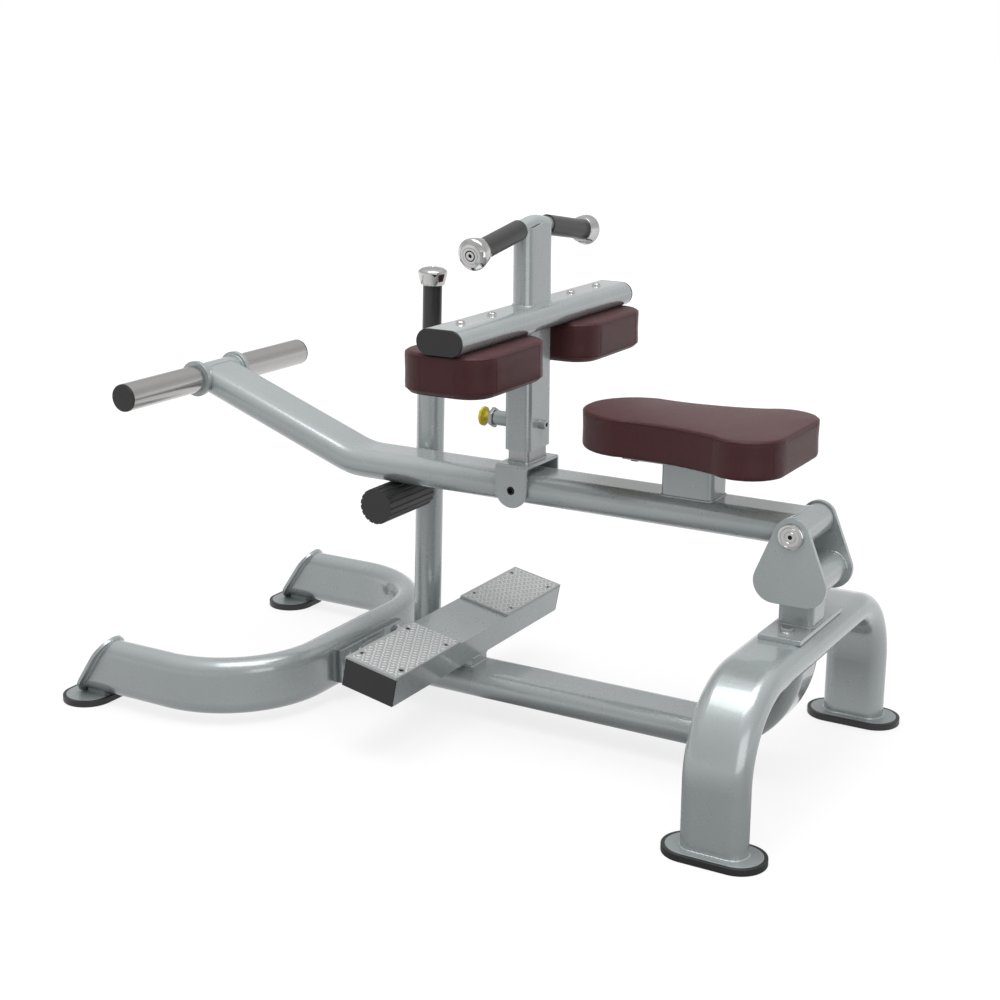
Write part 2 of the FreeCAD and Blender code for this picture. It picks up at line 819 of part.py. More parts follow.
def weight_horns():
    core = across(main_tube_depth, horn_x, horn_z, collar_inside)
    core = core.fuse(across(spigot_diameter, horn_x, horn_z, spigot_end))
    save("horn_cross_tube", core.cut(across(spigot_diameter - 2 * spigot_wall, horn_x, horn_z, spigot_end)))
    collars = []
    caps = []
    for side in (-1, 1):
        out = AXIS_Y * side
        inner = Vector(horn_x, side * collar_inside, horn_z)
        outer = Vector(horn_x, side * collar_outside, horn_z)
        tip = Vector(horn_x, side * sleeve_end, horn_z)
        collars.append(ring(collar_diameter, spigot_diameter, inner, out * collar_thickness))
        sleeve = ring(sleeve_diameter, spigot_diameter, outer, out * (sleeve_end - collar_outside))
        save("weight_sleeve_" + side_word(side), sleeve)
        disc = cylinder(sleeve_cap_diameter, tip, out * sleeve_cap_thickness)
        plug_length = sleeve_end - spigot_end
        plug = cylinder(spigot_diameter - 2 * fit_gap, tip - out * plug_length, out * plug_length)
        caps.append(disc.fuse(plug))
    save("horn_collars", *collars)
    save("sleeve_caps", *caps)


# Seat outline as shares of the seat's length and of half its rear width, nose first
seat_nose_shares = ((0.0, 0.0), (0.07, 0.5), (0.237, 0.709))
seat_waist_shares = ((0.237, 0.709), (0.49, 0.71), (0.73, 0.882))
seat_hip_shares = ((0.73, 0.882), (0.875, 0.985), (0.98, 0.75))
seat_corner_shares = ((0.98, 0.75), (0.996, 0.64), (1.0, 0.5))


def seat_wire(inset, z):
    """Seat plan: a round nose, a slight waist, wide round hips and a straight rear edge."""
    middle_x = seat_front_x + seat_length / 2
    scale_x = 1 - 2 * inset / seat_length
    scale_y = 1 - 2 * inset / seat_rear_width

    def at(share, side):
        x = middle_x + (share[0] - 0.5) * seat_length * scale_x
        return Vector(x, side * share[1] * seat_rear_width / 2 * scale_y, z)

    groups = (seat_nose_shares, seat_waist_shares, seat_hip_shares, seat_corner_shares)
    edges = []
    for first, middle, last in groups:
        edges.append(Part.Arc(at(first, 1), at(middle, 1), at(last, 1)).toShape())
    rear = seat_corner_shares[-1]
    edges.append(Part.LineSegment(at(rear, 1), at(rear, -1)).toShape())
    for first, middle, last in reversed(groups):
        edges.append(Part.Arc(at(last, -1), at(middle, -1), at(first, -1)).toShape())
    return Part.Wire(edges)


# Cushion sections from the board side to the crown: height share, inset share of the thickness
cushion_shares = ((0.0, 0.05), (0.06, 0.0), (0.5, 0.012), (0.92, 0.0), (0.975, 0.025), (1.0, 0.09))


def seat_cushion():
    wires = []
    for height_share, inset_share in cushion_shares:
        level = seat_bottom + height_share * seat_thickness
        wires.append(seat_wire(inset_share * seat_thickness, level))
    cushion = Part.makeLoft(wires, True, True)
    pocket = prism(
        seat_wire(seat_board_inset - running_gap, seat_bottom), AXIS_Z * (seat_board_thickness + running_gap))
    save("seat_pad", cushion.cut(pocket))


def seat_screw_places():
    for x in (-seat_screw_spacing_x / 2, seat_screw_spacing_x / 2):
        for y in (-seat_screw_spacing_y / 2, seat_screw_spacing_y / 2):
            yield Vector(seat_post_x + x, y, seat_bottom - seat_plate_thickness)


def seat():
    plate_bottom = seat_bottom - seat_plate_thickness
    post_base = Vector(seat_post_x, 0, pivot_height)
    post = box_tube(
        seat_post_length, seat_post_width, seat_post_radius, main_tube_wall,
        post_base, AXIS_X, AXIS_Y, AXIS_Z * (plate_bottom - pivot_height))
    save("seat_post", post.cut(lever_beam_run().outer()))

    corner = Vector(seat_post_x - seat_plate_length / 2, -seat_plate_width / 2, plate_bottom)
    plate = Part.makeBox(seat_plate_length, seat_plate_width, seat_plate_thickness, corner)
    board = prism(seat_wire(seat_board_inset, seat_bottom), AXIS_Z * seat_board_thickness)
    screw_length = seat_plate_thickness + bolt_head_height
    screws = []
    for place in seat_screw_places():
        hole = cylinder(pad_screw_diameter, place, AXIS_Z * screw_length)
        plate = plate.cut(hole)
        board = board.cut(hole)
        head_rise = AXIS_Z * pad_screw_head_height
        head = hexagon(bolt_head_flats, place - head_rise, head_rise)
        screws.append(head.fuse(hole))
    save("seat_mount_plate", plate)
    save("seat_board", board)
    save("seat_screws", *screws)
    seat_cushion()


def clevis_bracket():
    """Bent plate: a flat top and two ears with round lower ends."""
    inside_top = clevis_top_height - clevis_top_thickness
    bottom = pivot_height - clevis_radius
    origin = Vector(clevis_x - clevis_radius, 0, 0)
    height = clevis_top_height - bottom

    def channel(half_width, top, radius):
        centre = origin + AXIS_Z * (top - height)
        wire = rounded_wire(2 * half_width, 2 * height, radius, centre, AXIS_Y, AXIS_Z)
        return prism(wire, AXIS_X * 2 * clevis_radius)

    bent = channel(clevis_outside, clevis_top_height, clevis_bend_radius)
    bent = bent.cut(channel(clevis_inside, inside_top, clevis_bend_radius - clevis_plate))
    ear_start = Vector(clevis_x, -clevis_outside, pivot_height)
    outline = cylinder(2 * clevis_radius, ear_start, AXIS_Y * 2 * clevis_outside)
    upper_corner = Vector(clevis_x - clevis_radius, -clevis_outside, pivot_height)
    upper_height = clevis_top_height - pivot_height
    upper = Part.makeBox(2 * clevis_radius, 2 * clevis_outside, upper_height, upper_corner)
    bracket = bent.common(outline.fuse(upper))
    bracket = bracket.cut(across(clevis_pin_diameter, clevis_x, pivot_height, clevis_outside))
    save("clevis_bracket", bracket)

    pin = across(clevis_pin_diameter, clevis_x, pivot_height, clevis_outside)
    for side in (-1, 1):
        mouth = Vector(clevis_x, side * clevis_outside, pivot_height)
        pin = pin.cut(hexagon(clevis_socket, mouth, AXIS_Y * -side * clevis_socket_depth))
    save("clevis_pin", pin)


def inner_post():
    base = Vector(clevis_x, 0, clevis_top_height)
    post = box_tube(
        inner_post_depth, inner_post_width, inner_post_radius, inner_post_wall,
        base, AXIS_X, AXIS_Y, AXIS_Z * (inner_post_top - clevis_top_height))
    hole_diameter = plunger_pin_diameter + 2 * bolt_hole_gap
    for step in range(height_steps):
        start = Vector(inner_post_front - overrun, 0, plunger_z + step * height_pitch)
        post = post.cut(cylinder(hole_diameter, start, AXIS_X * (overrun + 2 * inner_post_wall)))
    save("inner_post", post)


def pad_beam_solid(margin):
    start = Vector(pad_beam_x, -pad_beam_half_length, pad_beam_z)
    wire = oval_wire(pad_beam_width + 2 * margin, pad_beam_depth + 2 * margin, start, AXIS_X, AXIS_Z)
    return prism(wire, AXIS_Y * 2 * pad_beam_half_length)


def outer_post():
    base = Vector(clevis_x, 0, outer_post_bottom)
    post = box_tube(
        outer_post_depth, outer_post_width, outer_post_radius, outer_post_wall,
        base, AXIS_X, AXIS_Y, AXIS_Z * (pad_beam_z - outer_post_bottom))
    post = post.cut(pad_beam_solid(0))
    hole_start = Vector(outer_post_front - overrun, 0, plunger_z)
    post = post.cut(cylinder(plunger_chamber, hole_start, AXIS_X * (overrun + 2 * outer_post_wall)))
    boss_face = Vector(outer_post_rear, 0, set_screw_height)
    post = post.fuse(cylinder(set_screw_boss, boss_face, AXIS_X * set_screw_boss_length))
    screw_start = boss_face - AXIS_X * outer_post_wall
    screw_length = outer_post_wall + set_screw_boss_length
    bore = cylinder(set_screw_diameter, screw_start - AXIS_X * overrun, AXIS_X * (screw_length + 2 * overrun))
    save("outer_post", post.cut(bore).removeSplitter())

    screw = cylinder(set_screw_diameter, screw_start, AXIS_X * (screw_length - set_screw_sink))
    socket_mouth = screw_start + AXIS_X * (screw_length - set_screw_sink)
    socket = hexagon(set_screw_diameter / 2, socket_mouth, -AXIS_X * set_screw_diameter / 2)
    save("set_screw", screw.cut(socket))

    liner_outer_depth = outer_post_depth - 2 * outer_post_wall
    liner_outer_width = outer_post_width - 2 * outer_post_wall
    liner_wall = (liner_outer_depth - inner_post_depth) / 2 - liner_gap
    liner = box_tube(
        liner_outer_depth, liner_outer_width, outer_post_radius - outer_post_wall, liner_wall,
        base, AXIS_X, AXIS_Y, AXIS_Z * liner_length)
    way_start = Vector(outer_post_front, 0, plunger_z)
    pin_way = cylinder(plunger_pin_diameter + 2 * bolt_hole_gap, way_start, AXIS_X * outer_post_depth / 2)
    save("post_liner", liner.cut(pin_way))


def pad_screw_places():
    for side in (-1, 1):
        for y in pad_screw_positions:
            yield side, Vector(pad_beam_x, side * y, pad_beam_z + pad_beam_depth / 2)


def pad_beam():
    beam = pad_beam_solid(0).cut(pad_beam_solid(-pad_beam_wall))
    screws = []
    for side, place in pad_screw_places():
        shank_length = pad_beam_depth + pad_screw_bite
        hole_start = place + AXIS_Z * overrun
        beam = beam.cut(cylinder(pad_screw_diameter + 2 * fit_gap, hole_start, -AXIS_Z * 2 * pad_beam_depth))
        dome_radius = (pad_screw_head ** 2 / 4 + pad_screw_head_height ** 2) / (2 * pad_screw_head_height)
        dome_centre = place + AXIS_Z * (pad_screw_head_height - dome_radius)
        head = Part.makeSphere(dome_radius, dome_centre)
        head = head.common(cylinder(pad_screw_head, place, AXIS_Z * pad_screw_head_height))
        socket_start = place + AXIS_Z * pad_screw_head_height
        head = head.cut(hexagon(pad_screw_diameter / 2, socket_start, -AXIS_Z * pad_screw_head_height / 2))
        screws.append(head.fuse(cylinder(pad_screw_diameter, place, -AXIS_Z * shank_length)))
    save("pad_beam", beam)
    save("pad_screws", *screws)

    caps = []
    for side in (-1, 1):
        out = AXIS_Y * side
        end = Vector(pad_beam_x, side * pad_beam_half_length, pad_beam_z)
        face = prism(oval_wire(pad_beam_width, pad_beam_depth, end, AXIS_X, AXIS_Z), out * pad_cap_thickness)
        shrink = 2 * (pad_beam_wall + fit_gap)
        plug_wire = oval_wire(pad_beam_width - shrink, pad_beam_depth - shrink, end, AXIS_X, AXIS_Z)
        caps.append(face.fuse(prism(plug_wire, -out * pad_cap_plug)))
    save("pad_beam_caps", *caps)


def handle_direction(side):
    return turned(AXIS_Y * side, AXIS_X, -side * handle_droop)


def handle_bar(diameter, reach):
    """The two drooping halves of the handle, meeting at its middle."""
    apex = Vector(upper_post_x, 0, handle_height)
    halves = []
    for side in (-1, 1):
        direction = handle_direction(side)
        half = cylinder(diameter, apex - direction * diameter, direction * (reach + diameter))
        keep = Part.makeBox(
            4 * diameter, reach + diameter, 4 * reach,
            Vector(upper_post_x - 2 * diameter, min(0, side * (reach + diameter)), handle_height - 2 * reach))
        halves.append(half.common(keep))
    return joined(halves)


def flared_cap(start, direction, bar_diameter):
    """Chrome end cap that widens to a rim and closes in a low dome, bored for its bar."""
    sideways = direction.cross(AXIS_X)

    def at(diameter, along):
        return start + sideways * (diameter / 2) + direction * along

    cone_end = flared_cap_length - flared_cap_dome - flared_cap_rim
    rim_end = flared_cap_length - flared_cap_dome
    bulge = at((flared_cap_large + flared_cap_face) / 2, flared_cap_length - flared_cap_dome / 4)
    flank = [at(flared_cap_small, 0), at(flared_cap_large, cone_end), at(flared_cap_large, rim_end)]
    profile = Part.Wire([
        Part.makePolygon([start] + flank),
        Part.Arc(at(flared_cap_large, rim_end), bulge, at(flared_cap_face, flared_cap_length)).toShape(),
        Part.makePolygon([at(flared_cap_face, flared_cap_length), at(0, flared_cap_length), start]),
    ])
    body = Part.Face(profile).revolve(start, direction, 360)
    return body.cut(cylinder(bar_diameter, start, direction * (flared_cap_length - flared_cap_floor)))


def handle():
    apex = Vector(upper_post_x, 0, handle_height)
    grip_end = handle_half_length - flared_cap_length
    bar = handle_bar(handle_diameter, handle_half_length - flared_cap_floor)
    bore = handle_bar(handle_diameter - 2 * handle_wall, handle_half_length)
    save("handle_tube", bar.cut(bore))
    grips = []
    caps = []
    for side in (-1, 1):
        direction = handle_direction(side)
        grip_foot = apex + direction * grip_start
        grips.append(ring(grip_diameter, handle_diameter, grip_foot, direction * (grip_end - grip_start)))
        caps.append(flared_cap(apex + direction * grip_end, direction, handle_diameter))
    save("handle_grips", *grips)
    save("handle_caps", *caps)

    post_base = Vector(upper_post_x, 0, pad_beam_z)
    rise = AXIS_Z * (handle_height - pad_beam_z)
    outer = prism(oval_wire(upper_post_width, upper_post_depth, post_base, AXIS_Y, AXIS_X), rise)
    bore_width = upper_post_width - 2 * pad_beam_wall
    bore_depth = upper_post_depth - 2 * pad_beam_wall
    post = outer.cut(prism(oval_wire(bore_width, bore_depth, post_base, AXIS_Y, AXIS_X), rise))
    post = post.cut(pad_beam_solid(0))
    roof = Vector(upper_post_x - upper_post_width, 0, handle_height)
    above = []
    for side in (-1, 1):
        direction = handle_direction(side)
        points = [
            roof, roof + direction * upper_post_width,
            roof + direction * upper_post_width + AXIS_Z * upper_post_width, roof + AXIS_Z * upper_post_width]
        above.append(prism(Part.makePolygon(points + [points[0]]), AXIS_X * 2 * upper_post_width))
    post = post.cut(joined(above))
    save("upper_post", post.cut(handle_bar(handle_diameter, upper_post_width)))


# Thigh pad sections from the board side down to the crown: depth share, inset share of the thickness
thigh_pad_shares = ((0.0, 0.05), (0.06, 0.0), (0.5, 0.012), (0.88, 0.0), (1.0, 0.12))


def thigh_wire(inset, side, z):
    centre = Vector(thigh_pad_x, side * thigh_pad_y, z)
    width = thigh_pad_width - 2 * inset
    length = thigh_pad_length - 2 * inset
    return rounded_wire(width, length, thigh_pad_corner - inset, centre, AXIS_X, AXIS_Y)


def thigh_pads():
    top = pad_beam_bottom - running_gap
    boards = []
    for side in (-1, 1):
        wires = []
        for depth_share, inset_share in thigh_pad_shares:
            level = top - depth_share * thigh_pad_thickness
            wires.append(thigh_wire(inset_share * thigh_pad_thickness, side, level))
        pad = Part.makeLoft(wires, True, True)
        pocket_wire = thigh_wire(thigh_board_inset - running_gap, side, pad_beam_bottom)
        pad = pad.cut(prism(pocket_wire, -AXIS_Z * (thigh_board_thickness + running_gap)))
        save("thigh_pad_" + side_word(side), pad)
        board = prism(thigh_wire(thigh_board_inset, side, pad_beam_bottom), -AXIS_Z * thigh_board_thickness)
        for screw_side, place in pad_screw_places():
            if screw_side == side:
                screw_travel = -AXIS_Z * (pad_beam_depth + pad_screw_bite)
                board = board.cut(cylinder(pad_screw_diameter, place, screw_travel))
        boards.append(board)
    save("thigh_boards", *boards)


def plunger_housing():
    face = Vector(outer_post_front, 0, plunger_z)
    boss = cylinder(plunger_boss_diameter, face, -AXIS_X * plunger_boss_length)
    boss = boss.cut(cylinder(plunger_chamber, face, -AXIS_X * plunger_boss_length))
    nut_face = face - AXIS_X * plunger_boss_length
    nut = hexagon(plunger_nut_flats, nut_face, -AXIS_X * plunger_nut_length)
    nut = nut.cut(cylinder(plunger_pin_diameter + 2 * fit_gap, nut_face, -AXIS_X * plunger_nut_length))
    save("plunger_housing", boss.fuse(nut).removeSplitter())


def knob_wire(at):
    """Round outline with shallow finger scallops."""
    radius = plunger_knob_diameter / 2
    step = 360 / plunger_knob_lobes
    edges = []
    for index in range(plunger_knob_lobes):
        first = at + turned(AXIS_Y * radius, AXIS_X, step * index)
        crest = at + turned(AXIS_Y * radius, AXIS_X, step * (index + plunger_knob_land_share / 2))
        dip_start = at + turned(AXIS_Y * radius, AXIS_X, step * (index + plunger_knob_land_share))
        dip_turn = step * (index + (1 + plunger_knob_land_share) / 2)
        dip = at + turned(AXIS_Y * (radius - plunger_knob_lobe_depth), AXIS_X, dip_turn)
        last = at + turned(AXIS_Y * radius, AXIS_X, step * (index + 1))
        edges.append(Part.Arc(first, crest, dip_start).toShape())
        edges.append(Part.Arc(dip_start, dip, last).toShape())
    return Part.Wire(edges)


def plunger():
    nut_front = outer_post_front - plunger_boss_length - plunger_nut_length
    knob_start = nut_front - running_gap
    knob_face = Vector(knob_start, 0, plunger_z)
    knob = prism(knob_wire(knob_face), -AXIS_X * plunger_knob_length)
    nose = inner_post_front - running_gap
    pin_start = Vector(knob_start - plunger_knob_length / 2, 0, plunger_z)
    pin = cylinder(plunger_pin_diameter, pin_start, AXIS_X * (nose - pin_start.x))
    save("plunger_knob", knob.cut(pin))
    collar_end = Vector(outer_post_front - plunger_collar_back, 0, plunger_z)
    collar = cylinder(plunger_collar_diameter, collar_end, -AXIS_X * plunger_collar_length)
    save("plunger_pin", pin.fuse(collar).removeSplitter())
    spring_end = collar_end - AXIS_X * plunger_collar_length
    chamber_floor = outer_post_front - plunger_boss_length
    spring_outer = plunger_pin_diameter + 2 * (spring_wall + running_gap)
    spring_inner = plunger_pin_diameter + 2 * running_gap
    spring_travel = -AXIS_X * (spring_end.x - chamber_floor)
    save("plunger_spring", ring(spring_outer, spring_inner, spring_end, spring_travel))


def catch_axis():
    return turned(AXIS_Z, AXIS_Y, catch_lean)


def roller_centre_x():
    lean_x = (roller_z - beam_level) * math.tan(math.radians(catch_lean))
    return catch_pivot_x + lean_x + roller_offset_x


def catch_post():
    pivot = catch_pivot()
    up = catch_axis()
    outer = cylinder(catch_post_diameter, pivot, up * catch_post_length)
    bore_length = catch_post_length - catch_post_wall
    outer = outer.cut(cylinder(catch_post_diameter - 2 * catch_post_wall, pivot, up * bore_length))
    rod_end = catch_cap_base + flared_cap_length - flared_cap_floor
    rod_start = pivot + up * catch_post_length
    outer = outer.fuse(cylinder(catch_rod_diameter, rod_start, up * (rod_end - catch_post_length)))
    bush_start = pivot - AXIS_Y * (catch_bush_width / 2)
    outer = outer.fuse(cylinder(catch_bush_diameter, bush_start, AXIS_Y * catch_bush_width))
    shaft_start = Vector(roller_centre_x(), -roller_near_end + roller_end_wall, roller_z)
    outer = outer.fuse(cylinder(roller_shaft_diameter, shaft_start, AXIS_Y * (catch_y - shaft_start.y)))
    bore_start = pivot - AXIS_Y * catch_post_diameter
    bore = cylinder(axle_diameter + 2 * fit_gap, bore_start, AXIS_Y * 2 * catch_post_diameter)
    save("catch_post", outer.cut(bore).removeSplitter())


def catch_grip():
    pivot = catch_pivot()
    up = catch_axis()
    start = pivot + up * catch_grip_start
    grip_travel = up * (catch_cap_base - catch_grip_start)
    save("catch_grip", ring(grip_diameter, catch_rod_diameter, start, grip_travel))
    save("catch_cap", flared_cap(pivot + up * catch_cap_base, up, catch_rod_diameter))


def catch_pivot_pin():
    pivot = catch_pivot()
    bush_half = catch_bush_width / 2
    root = Vector(pivot.x, catch_pin_root, pivot.z)
    head_start = pivot + AXIS_Y * (bush_half + running_gap)
    pin = cylinder(axle_diameter, root, AXIS_Y * (head_start.y - root.y))
    pin = pin.fuse(cylinder(catch_pin_head, head_start, AXIS_Y * catch_pin_head_thickness))
    shoulder_end = pivot.y - bush_half - running_gap
    shoulder_start = Vector(pivot.x, main_tube_width / 2 - main_tube_depth / 4, pivot.z)
    shoulder = cylinder(catch_pin_head, shoulder_start, AXIS_Y * (shoulder_end - shoulder_start.y))
    save("catch_pivot_pin", pin.fuse(shoulder.cut(floor_beam_run().outer())).removeSplitter())


def fluted_wire(at):
    """Round outline cut by shallow lengthwise flutes."""
    step = 360 / roller_flutes
    half_land = roller_land_share / 2
    edges = []
    for index in range(roller_flutes):
        first = at + turned(AXIS_Z * roller_radius, AXIS_Y, step * (index - half_land))
        land = at + turned(AXIS_Z * roller_radius, AXIS_Y, step * index)
        flute_start = at + turned(AXIS_Z * roller_radius, AXIS_Y, step * (index + half_land))
        flute = at + turned(AXIS_Z * (roller_radius - roller_flute_depth), AXIS_Y, step * (index + 1 / 2))
        last = at + turned(AXIS_Z * roller_radius, AXIS_Y, step * (index + 1 - half_land))
        edges.append(Part.Arc(first, land, flute_start).toShape())
        edges.append(Part.Arc(flute_start, flute, last).toShape())
    return Part.Wire(edges)


def stop_roller():
    near = Vector(roller_centre_x(), -roller_near_end, roller_z)
    far_y = catch_y - catch_post_diameter / 2 - running_gap
    roller = prism(fluted_wire(near), AXIS_Y * (far_y + roller_near_end))
    bore_start = near + AXIS_Y * roller_end_wall
    bore = cylinder(roller_shaft_diameter, bore_start, AXIS_Y * (far_y - bore_start.y))
    save("stop_roller", roller.cut(bore))


def main():
    os.makedirs("parts", exist_ok=True)
    rear_arch()
    foot_set("rear", arch_x, rear_track, rear_boot_length, rear_boot_width, AXIS_X)
    foot_set("front", front_foot_x, front_track, front_boot_length, front_boot_width, AXIS_Y)
    front_u_frame()
    front_end_plates()
    joint_flanges()
    frame_bolts()
    floor_beam()
    foot_rest()
    foot_rest_saddle()
    pivot_bracket()
    lever_axle()
    lever_beam()
    lever_hub()
    clevis_bush()
    weight_horns()
    seat()
    clevis_bracket()
    inner_post()
    outer_post()
    pad_beam()
    handle()
    thigh_pads()
    plunger_housing()
    plunger()
    catch_post()
    catch_grip()
    catch_pivot_pin()
    stop_roller()


main()
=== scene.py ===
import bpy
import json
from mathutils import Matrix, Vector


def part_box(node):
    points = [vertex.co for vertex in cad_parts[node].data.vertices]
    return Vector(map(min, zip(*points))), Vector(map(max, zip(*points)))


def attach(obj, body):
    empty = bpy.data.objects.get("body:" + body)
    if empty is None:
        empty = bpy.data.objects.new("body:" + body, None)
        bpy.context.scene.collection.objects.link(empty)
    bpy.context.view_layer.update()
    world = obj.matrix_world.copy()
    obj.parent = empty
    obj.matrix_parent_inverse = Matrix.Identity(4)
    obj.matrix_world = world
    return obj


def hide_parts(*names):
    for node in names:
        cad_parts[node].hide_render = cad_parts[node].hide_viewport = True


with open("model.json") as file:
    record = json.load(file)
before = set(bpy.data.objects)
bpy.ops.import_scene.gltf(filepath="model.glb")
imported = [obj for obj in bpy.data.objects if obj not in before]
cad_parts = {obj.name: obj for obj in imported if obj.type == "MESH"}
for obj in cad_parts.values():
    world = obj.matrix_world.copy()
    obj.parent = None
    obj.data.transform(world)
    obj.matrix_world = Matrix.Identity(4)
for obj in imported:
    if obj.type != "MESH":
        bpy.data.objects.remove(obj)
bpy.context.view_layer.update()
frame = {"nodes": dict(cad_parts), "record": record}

import json
import math

import bmesh
import bpy
from mathutils import Matrix, Vector
from mathutils.bvhtree import BVHTree

scene = bpy.context.scene
nodes = frame["nodes"]
record = frame["record"]
slot_of = {row["node"]: row["material_slot"] for row in record["subparts"]}
body_of = {node: body for body, names in record["behaviour"]["bodies"].items() for node in names}
X = Vector((1, 0, 0))
Y = Vector((0, 1, 0))
Z = Vector((0, 0, 1))
MM = 0.001

# Places that several pieces share, in mm

AXLE_X = 602.0
AXLE_HEIGHT = 434.0
CLEVIS_X = 100
SEAT_POST_X = 408.5
SADDLE_X = -36.5
PLUNGER_HEIGHT = 542.0
HORN_AXIS = Vector((-571.8, 0.0, 554.05))
HANDLE_APEX = Vector((106.5, 0.0, 877.0))
HANDLE_DROOP = math.radians(9.2)
HANDLE_BAR_RADIUS = 14.0
CATCH_FOOT = Vector((-158.0, 81.0, 63.0))
CATCH_LEAN = math.radians(1.5)
CATCH_BAR_RADIUS = 12.5
FOOT_REST_TILT = math.radians(11)
FOOT_REST_TOP = Vector((-34.0, 0.0, 166.0))
TREAD_SCREW_SLOPE = 40
TREAD_SCREWS_ACROSS = (112, 252)


# Shader groups that several finishes share

def group_with(name, inputs, outputs):
    group = bpy.data.node_groups.new(name, "ShaderNodeTree")
    for label, kind, value in inputs:
        socket = group.interface.new_socket(name=label, in_out="INPUT", socket_type=kind)
        if value is not None:
            socket.default_value = value
    for label, kind in outputs:
        group.interface.new_socket(name=label, in_out="OUTPUT", socket_type=kind)
    return group, group.nodes.new("NodeGroupInput"), group.nodes.new("NodeGroupOutput")


def set_or_link(tree, socket, value):
    if isinstance(value, (int, float, tuple)):
        socket.default_value = value
    else:
        tree.links.new(value, socket)


def noise(tree, vector, scale, detail=2.0, roughness=0.5):
    node = tree.nodes.new("ShaderNodeTexNoise")
    node.inputs["Detail"].default_value = detail
    node.inputs["Roughness"].default_value = roughness
    tree.links.new(vector, node.inputs["Vector"])
    set_or_link(tree, node.inputs["Scale"], scale)
    return node.outputs["Fac"]


def spread(tree, value, low, high, from_low=0.3, from_high=0.7):
    """Maps a changing value onto a range whose ends may be numbers or sockets."""
    node = tree.nodes.new("ShaderNodeMapRange")
    node.inputs["From Min"].default_value = from_low
    node.inputs["From Max"].default_value = from_high
    tree.links.new(value, node.inputs["Value"])
    set_or_link(tree, node.inputs["To Min"], low)
    set_or_link(tree, node.inputs["To Max"], high)
    return node.outputs["Result"]


def tinted(tree, colour, dark, light, value):
    """A colour made darker or lighter by a changing value."""
    node = tree.nodes.new("ShaderNodeVectorMath")
    node.operation = "SCALE"
    tree.links.new(colour, node.inputs[0])
    tree.links.new(spread(tree, value, dark, light), node.inputs["Scale"])
    return node.outputs[0]


def bumped(tree, height, depth):
    node = tree.nodes.new("ShaderNodeBump")
    set_or_link(tree, node.inputs["Distance"], depth)
    tree.links.new(height, node.inputs["Height"])
    return node.outputs["Normal"]


BROAD_SCALE = 9.0
SMEAR_SCALE = 30.0


def make_finish_group():
    """Broad unevenness, fine speckle, roughness and surface relief of a coated or moulded face."""
    group, start, end = group_with(
        "finish_surface",
        [("Vector", "NodeSocketVector", None), ("Colour", "NodeSocketColor", None),
         ("Speckle Scale", "NodeSocketFloat", 900.0), ("Speckle Low", "NodeSocketFloat", 0.96),
         ("Speckle High", "NodeSocketFloat", 1.04), ("Broad Low", "NodeSocketFloat", 0.96),
         ("Broad High", "NodeSocketFloat", 1.03), ("Rough Low", "NodeSocketFloat", 0.3),
         ("Rough High", "NodeSocketFloat", 0.4), ("Relief Scale", "NodeSocketFloat", 300.0),
         ("Relief Depth", "NodeSocketFloat", 0.00004)],
        [("Colour", "NodeSocketColor"), ("Roughness", "NodeSocketFloat"),
         ("Normal", "NodeSocketVector")])
    out = start.outputs
    broad = noise(group, out["Vector"], BROAD_SCALE, detail=3.0)
    speckle = noise(group, out["Vector"], out["Speckle Scale"], detail=1.0)
    colour = tinted(group, out["Colour"], out["Broad Low"], out["Broad High"], broad)
    colour = tinted(group, colour, out["Speckle Low"], out["Speckle High"], speckle)
    smear = noise(group, out["Vector"], SMEAR_SCALE, detail=4.0)
    relief = noise(group, out["Vector"], out["Relief Scale"], detail=3.0)
    group.links.new(colour, end.inputs["Colour"])
    group.links.new(spread(group, smear, out["Rough Low"], out["Rough High"]), end.inputs["Roughness"])
    group.links.new(bumped(group, relief, out["Relief Depth"]), end.inputs["Normal"])
    return group


finish_surface = make_finish_group()


def new_material(name, constants):
    material = bpy.data.materials.new(name)
    material.use_nodes = True
    tree = material.node_tree
    shader = tree.nodes["Principled BSDF"]
    for label, value in constants.items():
        shader.inputs[label].default_value = value
    return material, tree, shader, tree.nodes.new("ShaderNodeTexCoord").outputs["Object"]


def finish(name, colour, constants=None, along=None, **values):
    """A material whose surface comes from the shared finish group; along stretches its pattern."""
    material, tree, shader, where = new_material(name, constants or {})
    surface = tree.nodes.new("ShaderNodeGroup")
    surface.node_tree = finish_surface
    if along:
        stretch = tree.nodes.new("ShaderNodeMapping")
        stretch.inputs["Scale"].default_value = along
        tree.links.new(where, stretch.inputs["Vector"])
        where = stretch.outputs["Vector"]
    tree.links.new(where, surface.inputs["Vector"])
    surface.inputs["Colour"].default_value = (*colour, 1.0)
    for label, value in values.items():
        surface.inputs[label.replace("_", " ").title()].default_value = value
    for output, target in (("Colour", "Base Color"), ("Roughness", "Roughness"), ("Normal", "Normal")):
        tree.links.new(surface.outputs[output], shader.inputs[target])
    return material


def blended(tree, factor, first, second):
    node = tree.nodes.new("ShaderNodeMix")
    node.data_type = "RGBA"
    set_or_link(tree, node.inputs["A"], first)
    set_or_link(tree, node.inputs["B"], second)
    tree.links.new(factor, node.inputs["Factor"])
    return node.outputs["Result"]


LEATHER_SHINE = {
    "Specular IOR Level": 0.32, "Sheen Weight": 0.20, "Sheen Roughness": 0.35,
    "Sheen Tint": (1.0, 0.80, 0.82, 1.0)}
LEATHER_DARK = (0.056, 0.0106, 0.0122, 1.0)
LEATHER_LIGHT = (0.066, 0.0130, 0.0150, 1.0)
LEATHER_CREASE_SHADE = (0.042, 0.009, 0.011, 1.0)
PEBBLE_SCALE = 640.0
PEBBLE_DRIFT_SCALE = 160.0
PEBBLE_DRIFT = 0.003
CREASE_WIDTH = 0.22
CREASE_DEPTH = 0.00010


